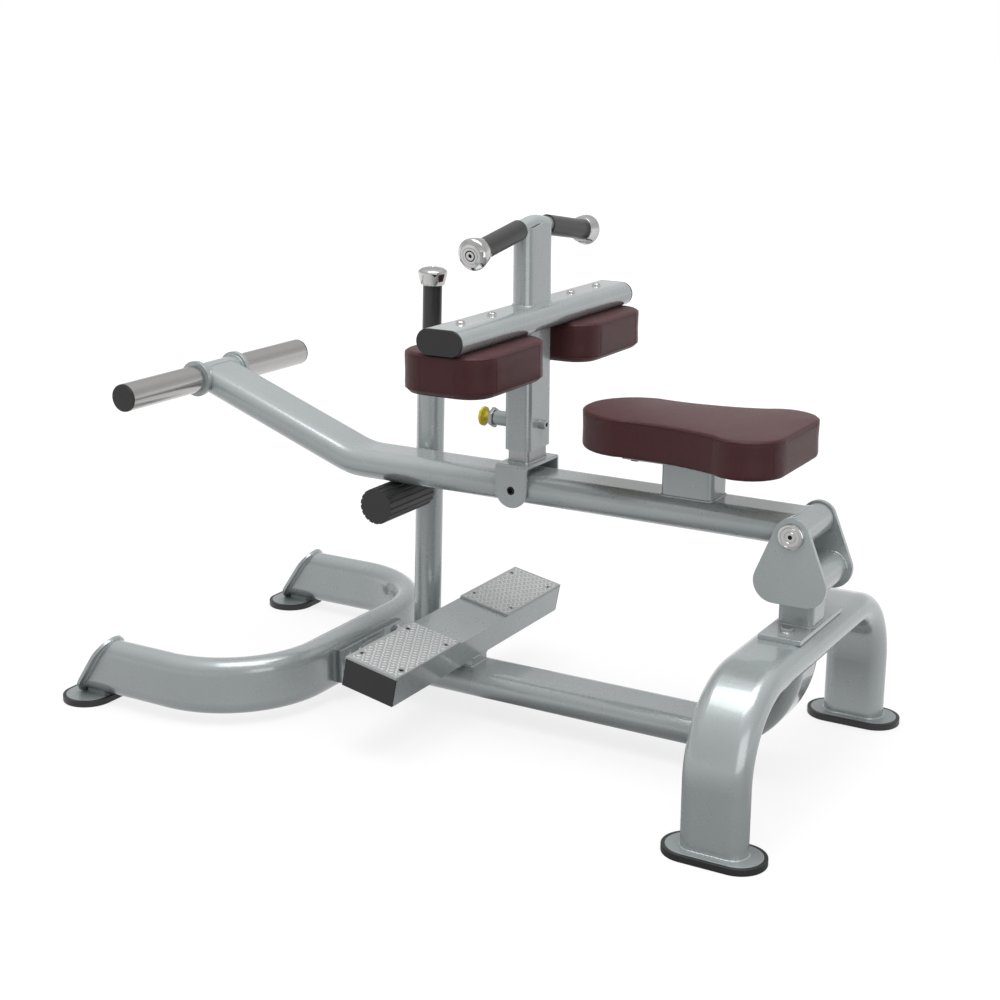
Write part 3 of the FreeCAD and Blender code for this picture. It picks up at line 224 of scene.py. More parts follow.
def make_leather():
    """Maroon leatherette: small pebbles with creases between them, the creases painted darker as shade,
    and a slow change of tone.
    """
    material, tree, shader, where = new_material("maroon_leatherette", LEATHER_SHINE)
    drift = tree.nodes.new("ShaderNodeTexNoise")
    drift.inputs["Scale"].default_value = PEBBLE_DRIFT_SCALE
    tree.links.new(where, drift.inputs["Vector"])
    sway = tree.nodes.new("ShaderNodeVectorMath")
    sway.operation = "SCALE"
    sway.inputs["Scale"].default_value = PEBBLE_DRIFT
    tree.links.new(drift.outputs["Color"], sway.inputs[0])
    moved = tree.nodes.new("ShaderNodeVectorMath")
    tree.links.new(where, moved.inputs[0])
    tree.links.new(sway.outputs[0], moved.inputs[1])
    pebble = tree.nodes.new("ShaderNodeTexVoronoi")
    pebble.feature = "DISTANCE_TO_EDGE"
    pebble.inputs["Scale"].default_value = PEBBLE_SCALE
    tree.links.new(moved.outputs[0], pebble.inputs["Vector"])
    crease = spread(tree, pebble.outputs["Distance"], 0.0, 1.0, 0.0, CREASE_WIDTH)
    broad = spread(tree, noise(tree, where, 14.0, detail=3.0), 0.0, 1.0)
    colour = blended(tree, broad, LEATHER_DARK, LEATHER_LIGHT)
    # The creases take a darker colour: painted shade in the grain.
    tree.links.new(blended(tree, crease, LEATHER_CREASE_SHADE, colour), shader.inputs["Base Color"])
    rough = spread(tree, noise(tree, where, 90.0, detail=3.0), 0.43, 0.47)
    tree.links.new(rough, shader.inputs["Roughness"])
    tree.links.new(bumped(tree, crease, CREASE_DEPTH), shader.inputs["Normal"])
    return material


PLY_DARK = (0.36, 0.24, 0.13, 1.0)
PLY_LIGHT = (0.50, 0.36, 0.21, 1.0)
PLY_SCALE = 110.0
GRAIN_SCALE = 420.0


def make_plywood():
    """Thin birch plies that show as stripes on the board's edge, with a fine face grain."""
    material, tree, shader, where = new_material("birch_plywood", {})
    plies = tree.nodes.new("ShaderNodeTexWave")
    plies.bands_direction = "Z"
    plies.inputs["Scale"].default_value = PLY_SCALE
    plies.inputs["Distortion"].default_value = 0.6
    tree.links.new(where, plies.inputs["Vector"])
    stretch = tree.nodes.new("ShaderNodeMapping")
    stretch.inputs["Scale"].default_value = (0.08, 1.0, 1.0)
    tree.links.new(where, stretch.inputs["Vector"])
    grain = noise(tree, stretch.outputs["Vector"], GRAIN_SCALE, detail=4.0)
    colour = blended(tree, plies.outputs["Fac"], PLY_DARK, PLY_LIGHT)
    tree.links.new(tinted(tree, colour, 0.86, 1.08, grain), shader.inputs["Base Color"])
    tree.links.new(spread(tree, grain, 0.55, 0.72), shader.inputs["Roughness"])
    tree.links.new(bumped(tree, grain, 0.00008), shader.inputs["Normal"])
    return material


SILVER = (0.368, 0.402, 0.406)
GLOSS_PAINT = {"Metallic": 0.36, "Coat Weight": 1.0, "Coat Roughness": 0.07}
SATIN_PAINT = {"Metallic": 0.25, "Coat Weight": 0.5, "Coat Roughness": 0.12}
METAL = {"Metallic": 1.0}
materials = {
    "paint": finish("silver_paint", SILVER, GLOSS_PAINT, speckle_scale=480.0, speckle_low=0.985,
                    speckle_high=1.015, rough_low=0.26, rough_high=0.30, relief_scale=220.0,
                    relief_depth=0.000003),
    "foot_plate": finish("foot_plate_paint", (0.275, 0.302, 0.306), SATIN_PAINT, rough_low=0.38,
                         rough_high=0.46, relief_scale=420.0, relief_depth=0.00002),
    "bolt": finish("zinc_fastener", (0.55, 0.56, 0.57), METAL, rough_low=0.22, rough_high=0.32,
                   relief_scale=700.0, relief_depth=0.00002),
    # Real black oxide on pins and screws; the same dark finish is also painted shade in sockets and
    # grooves.
    "black_oxide_and_recess_shade": finish("black_oxide_and_recess_shade", (0.012, 0.012, 0.013), {"Metallic": 0.3}, rough_low=0.40,
                          rough_high=0.55, relief_scale=700.0, relief_depth=0.00002),
    "steel": finish("plain_steel", (0.36, 0.37, 0.375), METAL, along=(1.0, 1.0, 0.06), rough_low=0.30,
                    rough_high=0.42, relief_scale=900.0, relief_depth=0.00001),
    "chrome": finish("polished_chrome", (0.61, 0.61, 0.605), METAL, speckle_low=0.99, speckle_high=1.01,
                     broad_low=0.98, broad_high=1.0, rough_low=0.05, rough_high=0.10,
                     relief_scale=900.0, relief_depth=0.000002),
    "sleeve": finish("satin_chrome", (0.53, 0.515, 0.505), METAL, along=(1.0, 0.05, 1.0),
                     speckle_low=0.97, speckle_high=1.03, rough_low=0.16, rough_high=0.24,
                     relief_scale=1400.0, relief_depth=0.000004),
    "rubber": finish("black_rubber", (0.020, 0.020, 0.021), rough_low=0.36, rough_high=0.44,
                     relief_scale=500.0, relief_depth=0.00006),
    "grip": finish("soft_grip", (0.034, 0.034, 0.035), rough_low=0.28, rough_high=0.34,
                   relief_scale=800.0, relief_depth=0.00010),
    "cap": finish("black_plastic", (0.018, 0.018, 0.019), rough_low=0.40, rough_high=0.50,
                  relief_scale=900.0, relief_depth=0.00006),
    "knob": finish("yellow_plastic", (0.74, 0.60, 0.035), rough_low=0.30, rough_high=0.38,
                   relief_scale=300.0, relief_depth=0.00002),
    "tread": finish("tread_metal", (0.42, 0.435, 0.435), {"Metallic": 0.35}, rough_low=0.42,
                    rough_high=0.55, relief_scale=500.0, relief_depth=0.00008),
    "tread_bar": finish("tread_bar_metal", (0.66, 0.675, 0.675), {"Metallic": 0.4}, rough_low=0.34,
                        rough_high=0.46, relief_scale=500.0, relief_depth=0.00004),
    "bush": finish("liner_plastic", (0.30, 0.31, 0.31), rough_low=0.45, rough_high=0.55),
    "brass": finish("bronze_bush", (0.55, 0.40, 0.19), METAL, rough_low=0.3, rough_high=0.42),
    "thread": finish("maroon_thread", (0.045, 0.010, 0.012), rough_low=0.6, rough_high=0.75,
                     relief_scale=1500.0),
    "leather": make_leather(),
    "board": make_plywood(),
}

finish_of = dict(slot_of)
finish_of.update(dict.fromkeys(("weight_sleeve_left", "weight_sleeve_right"), "sleeve"))
finish_of.update(dict.fromkeys(("set_screw", "clevis_pin", "seat_screws"), "black_oxide_and_recess_shade"))
for node, label in finish_of.items():
    nodes[node].data.materials.clear()
    nodes[node].data.materials.append(materials[label])


# Making and placing pieces

NODE_MERGE = 0.00001
TURNING_MERGE = 0.000002
FLAT_WITHIN = math.radians(1.0)
EDGE_ABOVE = math.radians(40)


def merged(node):
    """A copy of a node's mesh whose triangles share their corners."""
    bm = bmesh.new()
    bm.from_mesh(nodes[node].data)
    bmesh.ops.remove_doubles(bm, verts=bm.verts, dist=NODE_MERGE)
    return bm


def as_mesh(bm, name):
    mesh = bpy.data.meshes.new(name)
    bm.to_mesh(mesh)
    bm.free()
    return mesh


def evaluated_mesh(piece):
    graph = bpy.context.evaluated_depsgraph_get()
    return bpy.data.meshes.new_from_object(piece.evaluated_get(graph))


def place_piece(name, mesh, body, slot, finishes=(), replaced=()):
    """Links a finished mesh into the scene on its body, in the finishes given or the slot's own."""
    mesh.name = name
    if mesh.materials:
        mesh.materials.clear()
    for label in finishes or (slot,):
        mesh.materials.append(materials[label])
    piece = bpy.data.objects.new(name, mesh)
    scene.collection.objects.link(piece)
    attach(piece, body)
    if replaced:
        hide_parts(*replaced)
    return piece


def in_place_of(node, name, mesh, finishes=()):
    return place_piece(name, mesh, body_of[node], slot_of[node], finishes or (finish_of[node],), (node,))


def rounded_look(mesh, angle=35.0):
    mesh.shade_smooth()
    mesh.set_sharp_from_angle(angle=math.radians(angle))


def facing(place, axis):
    """Turns a piece made round Z so that it stands at a place along an axis."""
    return Matrix.Translation(place) @ Vector(axis).to_track_quat("Z", "Y").to_matrix().to_4x4()


def eased(node, width=0.0010):
    """The node's own shape with its sharp edges rounded, in the node's place."""
    bm = merged(node)
    bmesh.ops.dissolve_limit(bm, angle_limit=FLAT_WITHIN, verts=bm.verts, edges=bm.edges)
    sharp = [
        edge for edge in bm.edges if edge.is_manifold and edge.calc_face_angle() > EDGE_ABOVE]
    bmesh.ops.bevel(
        bm, geom=sharp, offset=width, offset_type="OFFSET", segments=2, profile=0.5,
        affect="EDGES", clamp_overlap=True, material=-1)
    mesh = as_mesh(bm, node)
    rounded_look(mesh, 50.0)
    piece = in_place_of(node, node + "_eased", mesh)
    flat = piece.modifiers.new("flat_faces", "WEIGHTED_NORMAL")
    flat.keep_sharp = True


SCALLOPED_FROM = 0.8
SCALLOP_DEPTH = 0.015


def spun(bm, profile, place, axis, second=(), steps=48, scallops=0):
    """Adds a round part spun from (radius, height) points in mm whose ends lie on its axis.

    Faces inside the radius ranges in second take the piece's second finish; scallops is the number
    of finger grips cut into its widest part.
    """
    widest = max(radius for radius, height in profile)
    line = [bm.verts.new((radius * MM, 0.0, height * MM)) for radius, height in profile]
    edges = [bm.edges.new(pair) for pair in zip(line, line[1:])]
    bmesh.ops.spin(
        bm, geom=line + edges, cent=(0, 0, 0), axis=(0, 0, 1), angle=math.tau, steps=steps,
        use_merge=True)
    fresh = {vert for edge in edges for vert in edge.verts}
    grown = set(fresh)
    while fresh:
        fresh = {edge.other_vert(vert) for vert in fresh for edge in vert.link_edges} - grown
        grown |= fresh
    faces = {face for vert in grown for face in vert.link_faces}
    for face in faces:
        centre = face.calc_center_median()
        reach = math.hypot(centre.x, centre.y) / MM
        if centre.z > 0 and any(inner <= reach <= outer for inner, outer in second):
            face.material_index = 1
    for vert in grown:
        reach = math.hypot(vert.co.x, vert.co.y) / MM
        if scallops and reach > widest * SCALLOPED_FROM:
            turn = math.atan2(vert.co.y, vert.co.x)
            share = 1 - SCALLOP_DEPTH * (1 - math.cos(scallops * turn))
            vert.co.x *= share
            vert.co.y *= share
    bmesh.ops.transform(bm, matrix=facing(place, axis), verts=list(grown))


def six_sided(bm, flats, height, place, axis):
    """Adds a nut or bolt head with eased edges, standing on a place."""
    made = bmesh.ops.create_cone(
        bm, cap_ends=True, segments=6, radius1=flats / math.sqrt(3), radius2=flats / math.sqrt(3),
        depth=height, matrix=facing(place + Vector(axis) * height / 2, axis))
    edges = list({edge for vert in made["verts"] for edge in vert.link_edges})
    bmesh.ops.bevel(
        bm, geom=edges, offset=height * 0.12, offset_type="OFFSET", segments=2, profile=0.5,
        affect="EDGES", clamp_overlap=True, material=-1)


def closed_up(bm, name):
    bmesh.ops.remove_doubles(bm, verts=bm.verts, dist=TURNING_MERGE)
    bmesh.ops.recalc_face_normals(bm, faces=bm.faces)
    mesh = as_mesh(bm, name)
    rounded_look(mesh)
    return mesh


def swept(lines, radius, closed=True, ripple=0.0, sides=3):
    """Round bars or beads along lines of points, smooth or with a weld's small ripples."""
    curve = bpy.data.curves.new("path", "CURVE")
    curve.dimensions = "3D"
    curve.bevel_depth = radius
    curve.bevel_resolution = sides
    curve.use_fill_caps = not closed
    for line in lines:
        spline = curve.splines.new("POLY")
        spline.points.add(len(line) - 1)
        for index, (target, place) in enumerate(zip(spline.points, line)):
            target.co = (*place, 1.0)
            target.radius = 1.0 + ripple * math.sin(index * 2.1)
        spline.use_cyclic_u = closed
    holder = bpy.data.objects.new("path", curve)
    scene.collection.objects.link(holder)
    mesh = evaluated_mesh(holder)
    bpy.data.objects.remove(holder)
    mesh.shade_smooth()
    return mesh


BEND_STEPS = 8


def bent_bar(apex, droop, bend_radius, reach, radius):
    """A round bar whose two arms droop from a smooth bend just under the apex."""
    centre = apex - Z * bend_radius / math.cos(droop)
    line = []
    for step in range(-BEND_STEPS, BEND_STEPS + 1):
        turn = droop * step / BEND_STEPS
        line.append(centre + Vector((0.0, math.sin(turn), math.cos(turn))) * bend_radius)
    ends = [
        apex + Vector((0.0, side * math.cos(droop), -math.sin(droop))) * reach for side in (-1, 1)]
    return swept([[ends[0]] + line + [ends[1]]], radius, closed=False, sides=10)


def evened(points, spacing):
    """The same closed line with points at an even spacing."""
    result = []
    for first, second in zip(points, points[1:] + points[:1]):
        count = max(1, round((second - first).length / spacing))
        result += [first.lerp(second, step / count) for step in range(count)]
    return result


# Turned and moulded round parts. Profiles are radius and height in mm, from the seating side outwards.

CAP_FACE = (
    (20.8, 0.0), (21.4, 0.6), (23.4, 8.0), (25.0, 15.0), (25.8, 19.6), (26.0, 22.0), (25.6, 23.8),
    (24.6, 25.2), (23.0, 26.4), (21.2, 27.6), (19.4, 28.7), (19.0, 27.9), (18.2, 27.9), (17.8, 29.0),
    (13.8, 30.0), (13.4, 29.2), (12.8, 29.2), (12.4, 30.2), (9.0, 30.8), (8.6, 29.8), (7.4, 29.8),
    (7.0, 31.0), (3.4, 31.0), (3.0, 30.6), (3.0, 28.0), (0.0, 28.0))
# The socket and the floor of the groove take the dark second finish: painted shade in these recesses.
CAP_RECESS_SHADE = [(0.0, 3.1), (7.9, 8.1)]
AXLE_CAP = (
    (0.0, 0.0), (21.0, 0.0), (21.0, 4.0), (20.4, 5.2), (19.0, 5.9), (16.6, 6.0), (16.0, 5.2),
    (15.2, 5.2), (14.6, 6.0), (9.8, 6.0), (9.2, 5.3), (8.4, 5.3), (7.8, 6.0), (3.6, 6.0), (3.2, 5.4),
    (3.2, 2.6), (0.0, 2.6))
PAD_SCREW = (
    (0.0, -49.0), (4.0, -49.0), (4.0, 0.0), (8.0, 0.0), (8.0, 1.0), (7.3, 2.8), (5.8, 4.2), (3.8, 4.9),
    (2.9, 5.0), (2.5, 4.4), (2.5, 2.4), (0.0, 2.4))
KNOB = (
    (0.0, -2.0), (7.6, -2.0), (7.8, -1.4), (6.9, 0.6), (6.3, 4.0), (6.6, 8.0), (8.6, 10.2),
    (14.4, 11.0), (16.6, 12.0), (17.2, 13.8), (16.9, 15.6), (15.8, 16.9), (13.6, 17.7), (9.0, 18.2),
    (0.0, 18.4))
HOUSING = ((0.0, 0.0), (13.0, 0.0), (13.0, 36.2), (12.4, 36.9), (0.0, 37.0))
# Thin dark discs where the tread screws' sockets are: painted shade standing in for the socket holes.
TREAD_SOCKET_SHADE = ((0.0, 0.0), (2.7, 0.0), (2.7, 0.3), (2.2, 0.4), (0.0, 0.4))
WASHER = ((0.0, 0.0), (12.0, 0.0), (12.0, 1.2), (11.6, 1.6), (0.0, 1.6))
CAP_BORE_DEPTH = 20.0


def foot_rest_directions():
    """The tilted foot rest's slope and normal, and the middle of its top in mm."""
    along = Vector((math.cos(FOOT_REST_TILT), 0.0, -math.sin(FOOT_REST_TILT)))
    return along, Y.cross(-along), FOOT_REST_TOP


def capped(bar_radius):
    """The flared cap's whole profile, bored for its bar."""
    return ((0.0, CAP_BORE_DEPTH), (bar_radius, CAP_BORE_DEPTH), (bar_radius, 0.0)) + CAP_FACE


def make_handle_parts():
    apex = HANDLE_APEX * MM
    bm = bmesh.new()
    for side in (-1, 1):
        out = Vector((0.0, side * math.cos(HANDLE_DROOP), -math.sin(HANDLE_DROOP)))
        # The caps' sockets and groove floors are painted dark as shade.
        spun(bm, capped(HANDLE_BAR_RADIUS), apex + out * 170.0 * MM, out, CAP_RECESS_SHADE)
    in_place_of("handle_caps", "handle_cap_turnings", closed_up(bm, "caps"), ("chrome", "black_oxide_and_recess_shade"))
    bar = bent_bar(apex, HANDLE_DROOP, 90.0 * MM, 196.0 * MM, HANDLE_BAR_RADIUS * MM)
    in_place_of("handle_tube", "handle_bar", bar)


def make_catch_cap():
    up = Vector((math.sin(CATCH_LEAN), 0.0, math.cos(CATCH_LEAN)))
    bm = bmesh.new()
    # The cap's socket and groove floor are painted dark as shade.
    spun(bm, capped(CATCH_BAR_RADIUS), CATCH_FOOT * MM + up * 683.0 * MM, up, CAP_RECESS_SHADE)
    in_place_of("catch_cap", "catch_cap_turning", closed_up(bm, "cap"), ("chrome", "black_oxide_and_recess_shade"))


def make_axle_caps():
    bm = bmesh.new()
    for side in (-1, 1):
        # The socket in each axle cap is painted dark as shade.
        spun(bm, AXLE_CAP, Vector((AXLE_X, side * 63.5, AXLE_HEIGHT)) * MM, Y * side, [(0.0, 3.3)])
    in_place_of("axle_caps", "axle_cap_turnings", closed_up(bm, "axle"), ("chrome", "black_oxide_and_recess_shade"))


def make_pad_screws():
    bm = bmesh.new()
    for across in (-229.0, -134.0, 134.0, 229.0):
        spun(bm, PAD_SCREW, Vector((108.0, across, 744.5)) * MM, Z, steps=24)
    in_place_of("pad_screws", "pad_screw_turnings", closed_up(bm, "screws"))


def make_plunger_parts():
    bm = bmesh.new()
    spun(bm, KNOB, Vector((28.7, 0.0, PLUNGER_HEIGHT)) * MM, -X, steps=64, scallops=8)
    in_place_of("plunger_knob", "plunger_knob_moulding", closed_up(bm, "knob"))

    bm = bmesh.new()
    spun(bm, HOUSING, Vector((75.0, 0.0, PLUNGER_HEIGHT)) * MM, -X, [(0.0, 14.0)])
    six_sided(bm, 31.0 * MM, 7.0 * MM, Vector((38.0, 0.0, PLUNGER_HEIGHT)) * MM, -X)
    in_place_of(
        "plunger_housing", "plunger_housing_turning", closed_up(bm, "housing"), ("steel", "paint"))


def make_tread_socket_shades():
    # Dark discs on the tread plates: painted shade for the screws' socket holes.
    along, normal, origin = foot_rest_directions()
    bm = bmesh.new()
    for side in (-1, 1):
        for u in (-TREAD_SCREW_SLOPE, TREAD_SCREW_SLOPE):
            for y in TREAD_SCREWS_ACROSS:
                spun(bm, TREAD_SOCKET_SHADE, (origin + along * u + Y * (side * y)) * MM, normal, steps=16)
    place_piece("tread_socket_shades", closed_up(bm, "sockets"), "base", "bolt", ("black_oxide_and_recess_shade",))


def make_washers():
    bm = bmesh.new()
    for side in (-1, 1):
        spun(bm, WASHER, Vector((AXLE_X, side * 62.0, 279.0)) * MM, Z, steps=32)
        for level in (52.0, 82.0):
            spun(bm, WASHER, Vector((-225.5, side * 78.0, level)) * MM, X, steps=32)
    place_piece("bolt_washers", closed_up(bm, "washers"), "base", "bolt")


# Weld beads. Each named section is a tube's width, depth and corner radius in mm.

FRAME_TUBE = (103, 52, 25.9)
LEVER_TUBE = (101, 49.6, 24.8)
SEAT_POST = (93, 63, 11)
BRACKET_POST = (61, 61, 10)
SADDLE = (83, 50, 2)
WELD_POINT_SPACING = 0.0025
CORNER_STEPS = 12
FEWEST_WELD_POINTS = 8
WELD_RIPPLE = 0.10
HORN_RISE = math.radians(20)
RISE = Vector((-math.cos(HORN_RISE), 0.0, math.sin(HORN_RISE)))
RISE_UP = Vector((math.sin(HORN_RISE), 0.0, math.cos(HORN_RISE)))


def outline(centre, wide, deep, width, depth, radius):
    """Evenly spaced points round a rectangle with round corners; sizes in mm."""
    points = []
    for turn, (u, v) in enumerate(((1, 1), (-1, 1), (-1, -1), (1, -1))):
        for step in range(CORNER_STEPS + 1):
            angle = (turn + step / CORNER_STEPS) * math.pi / 2
            across = u * (width / 2 - radius) + radius * math.cos(angle)
            down = v * (depth / 2 - radius) + radius * math.sin(angle)
            points.append((centre + wide * across + deep * down) * MM)
    return evened(points, WELD_POINT_SPACING)


def landed(points, direction, node):
    """Where lines from the points along a direction first meet a node."""
    bm = merged(node)
    tree = BVHTree.FromBMesh(bm)
    bm.free()
    hits = [tree.ray_cast(point, direction)[0] for point in points]
    return [hit for hit in hits if hit is not None]


def weld(name, node, direction, centre, wide, deep, size, bead=2.2):
    """A weld bead where a tube of the given section, laid along a direction, meets a node."""
    points = landed(outline(Vector(centre), wide, deep, *size), direction, node)
    if len(points) > FEWEST_WELD_POINTS:
        bead_mesh = swept([points], bead * MM, ripple=WELD_RIPPLE)
        place_piece(name + "_weld", bead_mesh, body_of[node], "paint")


def make_welds():
    weld("upper_post", "pad_beam", -Z, (106.5, 0, 800), X, Y, (41, 87, 20.5))
    weld("outer_post", "pad_beam", Z, (CLEVIS_X, 0, 640), X, Y, (51, 81, 12))
    weld("seat_post", "lever_beam", -Z, (SEAT_POST_X, 0, 480), X, Y, SEAT_POST)
    weld("seat_post_top", "seat_mount_plate", Z, (SEAT_POST_X, 0, 500), X, Y, SEAT_POST)
    weld("bracket_post", "bracket_base_plate", -Z, (AXLE_X, 0, 300), X, Y, BRACKET_POST)
    weld("bracket_post_top", "bracket_cross_tube", Z, (AXLE_X, 0, 300), X, Y, BRACKET_POST)
    weld("inner_post", "clevis_bracket", -Z, (CLEVIS_X, 0, 490), X, Y, (41, 71, 8))
    weld("lever_hub", "hub_tube", X, (540, 0, AXLE_HEIGHT), Y, Z, LEVER_TUBE)
    weld("horn", "horn_cross_tube", RISE, HORN_AXIS - RISE * 60, Y, RISE_UP, LEVER_TUBE)
    weld("floor_beam", "joint_flanges", -X, (-200, 0, 63), Y, Z, FRAME_TUBE)
    weld("foot_saddle", "floor_beam", -Z, (SADDLE_X, 0, 100), X, Y, SADDLE)
    weld("foot_saddle_top", "foot_rest_beam", Z, (SADDLE_X, 0, 98), X, Y, SADDLE)
    for side, word in ((-1, "left"), (1, "right")):
        outward = Y * side
        weld(
            "cross_tube_" + word, "bracket_side_plates", outward, (AXLE_X, side * 40, 356), X, Z,
            FRAME_TUBE)
        weld("rear_leg_" + word, "rear_foot_plates", -Z, (597, side * 309, 40), X, Y, (108, 52, 26))
        weld("front_leg_" + word, "front_end_plates", -X, (-520, side * 306, 67), Z, Y, (103, 52, 26))
        weld("collar_" + word, "horn_collars", outward, HORN_AXIS + outward * 30, X, Z, (52, 52, 25.9))


# Tread plates

BAR_PITCH = 8.4
BAR_ROWS = range(-5, 6)
BAR_COLUMNS = 23
FIRST_BAR = 87.5
LAST_BAR = 279
BAR_SLOPE_REACH = 46.5
SCREW_CLEARANCE = 7.0
BAR_SIZE = Matrix.Diagonal((0.0052, 0.0019, 0.0011, 1.0))


def bar_fits(u, y):
    """Whether a bar at a place on the plate, in mm, stays clear of its edges and screws."""
    near_screw = any(
        math.hypot(abs(u) - TREAD_SCREW_SLOPE, y - place) < SCREW_CLEARANCE
        for place in TREAD_SCREWS_ACROSS)
    return abs(u) <= BAR_SLOPE_REACH and y <= LAST_BAR and not near_screw


def make_tread_bars():
    """Raised lens-shaped bars, laid in turn one way and the other across each tread plate."""
    along, normal, origin = foot_rest_directions()
    for side, word in ((-1, "left"), (1, "right")):
        bm = bmesh.new()
        for row in BAR_ROWS:
            for column in range(BAR_COLUMNS):
                u = row * BAR_PITCH + BAR_PITCH * 0.5 * (column % 2)
                y = FIRST_BAR + column * BAR_PITCH
                if not bar_fits(u, y):
                    continue
                slant = math.radians(45 if (row + column // 2) % 2 else -45)
                long_way = along * math.cos(slant) + Y * math.sin(slant)
                short_way = normal.cross(long_way)
                place = (origin + along * u + Y * (side * y)) * MM
                turn = Matrix((long_way, short_way, normal)).transposed().to_4x4()
                bmesh.ops.create_uvsphere(
                    bm, u_segments=8, v_segments=5, radius=1.0,
                    matrix=Matrix.Translation(place) @ turn @ BAR_SIZE)
        mesh = as_mesh(bm, "bars")
        mesh.shade_smooth()
        place_piece("tread_bars_" + word, mesh, "base", "tread", ("tread_bar",))


# Cushions. Lengths are in metres.

COVER_VOXEL = 0.004
COVER_PRESSURE = 4.0
CLOTH_STEPS = 20
STILL_NEAR_BOARD = 0.006
STILL_BELOW_RIM = 0.0015
CROWN_EDGE = 0.0007
CROWN_SWELL = 0.0040
SIDE_SWELL = 0.0006
POCKET_FLOOR_WITHIN = 0.0002
POCKET_DEPTH = 0.0110
SEAT_RIM_DEPTH = 0.0044
THIGH_CROWN_RIM = 0.0079
THIGH_BOARD_RIM_DEPTH = 0.0035
THIGH_EDGE_RIM = 0.0010
COVER_LIFT = 0.0010
COVER_LIFT_START = 0.002
COVER_LIFT_RUN = 0.0015
LINE_SPACING = 0.003
SMOOTHINGS = 6
WELT_RADIUS = 0.0009
SEAM_RADIUS = 0.0004
SEAM_STEPS = 10
SEAM_START = 0.03
STITCH_PITCH = 0.0050
STITCH_BELOW_RIM = 0.0045
STITCH_SIZE = Matrix.Diagonal((0.00045, 0.00045, 0.0018, 1.0))


def remeshed(mesh, voxel):
    helper = bpy.data.objects.new("helper", mesh)
    scene.collection.objects.link(helper)
    modifier = helper.modifiers.new("even", "REMESH")
    modifier.mode = "VOXEL"
    modifier.voxel_size = voxel
    result = evaluated_mesh(helper)
    bpy.data.objects.remove(helper)
    return result


def inflated(mesh, held, pressure, cap):
    """Cloth blown up a little between its held points, no point moving more than its cap."""
    helper = bpy.data.objects.new("helper", mesh)
    scene.collection.objects.link(helper)
    pins = helper.vertex_groups.new(name="held")
    start = [vertex.co.copy() for vertex in mesh.vertices]
    for index, place in enumerate(start):
        if held(place):
            pins.add([index], 1.0, "REPLACE")
    cloth = helper.modifiers.new("cloth", "CLOTH")
    settings = cloth.settings
    settings.vertex_group_mass = "held"
    settings.use_pressure = True
    settings.uniform_pressure_force = pressure
    settings.effector_weights.gravity = 0.0
    settings.tension_stiffness = settings.compression_stiffness = 25.0
    settings.shear_stiffness = 12.0
    settings.bending_stiffness = 1.5
    cloth.point_cache.frame_start = 1
    cloth.point_cache.frame_end = CLOTH_STEPS
    for step in range(1, CLOTH_STEPS + 1):
        scene.frame_set(step)
    result = evaluated_mesh(helper)
    for vertex, first in zip(result.vertices, start):
        move = vertex.co - first
        limit = cap(first)
        if move.length > limit:
            vertex.co = first + move.normalized() * limit
    scene.frame_set(1)
    bpy.data.objects.remove(helper)
    return result


def loop_at(mesh, level):
    """The longest closed line where a level plane cuts a mesh, smoothed."""
    bm = bmesh.new()
    bm.from_mesh(mesh)
    cut = bmesh.ops.bisect_plane(
        bm, geom=bm.verts[:] + bm.edges[:] + bm.faces[:], plane_co=(0, 0, level), plane_no=(0, 0, 1))
    edges = {item for item in cut["geom_cut"] if isinstance(item, bmesh.types.BMEdge)}
    loops = []
    while edges:
        first, here = edges.pop().verts
        line = [first.co.copy(), here.co.copy()]
        while here is not first:
            onward = next((edge for edge in here.link_edges if edge in edges), None)
            if onward is None:
                break
            edges.discard(onward)
            here = onward.other_vert(here)
            line.append(here.co.copy())
        loops.append(line[:-1])
    bm.free()
    line = evened(max(loops, key=len), LINE_SPACING)
    for _ in range(SMOOTHINGS):
        line = [(a + b * 2 + c) / 4 for a, b, c in zip(line[-1:] + line, line, line[1:] + line[:1])]
    return line


def stitched(name, line, body):
    """Short threads end to end along a seam line, each half sunk in the leatherette."""
    bm = bmesh.new()
    travelled = 0.0
    begin = line[0]
    for point, following in zip(line, line[1:] + line[:1]):
        travelled += (following - point).length
        if travelled >= STITCH_PITCH:
            stand = facing((begin + following) / 2, following - begin)
            bmesh.ops.create_uvsphere(
                bm, u_segments=6, v_segments=4, radius=1.0, matrix=stand @ STITCH_SIZE)
            travelled = 0.0
            begin = following
    mesh = as_mesh(bm, name)
    mesh.shade_smooth()
    place_piece(name, mesh, body, "leather", ("thread",))


def without_pocket(bm, floor_level):
    """Fills the board's pocket, so that the cover runs on across the board."""
    floor = [vert for vert in bm.verts if abs(vert.co.z - floor_level) < POCKET_FLOOR_WITHIN]
    bmesh.ops.delete(bm, geom=floor, context="VERTS")
    bmesh.ops.holes_fill(bm, edges=[edge for edge in bm.edges if edge.is_boundary], sides=0)
    bmesh.ops.recalc_face_normals(bm, faces=bm.faces)


def upright_seams(name, mesh, body, corners, low, high):
    """Sewn seams that run up the sides of a cushion, found from outside each corner inwards."""
    bm = bmesh.new()
    bm.from_mesh(mesh)
    tree = BVHTree.FromBMesh(bm)
    bm.free()
    lines = []
    for x, y, inward in corners:
        line = []
        for step in range(SEAM_STEPS + 1):
            level = low + (high - low) * step / SEAM_STEPS
            start = Vector((x * MM, y * MM, level)) - inward * SEAM_START
            hit = tree.ray_cast(start, inward)[0]
            if hit is not None:
                line.append(hit)
        lines.append(line)
    seams = swept([line for line in lines if len(line) > 3], SEAM_RADIUS, closed=False)
    place_piece(name, seams, body, "leather")


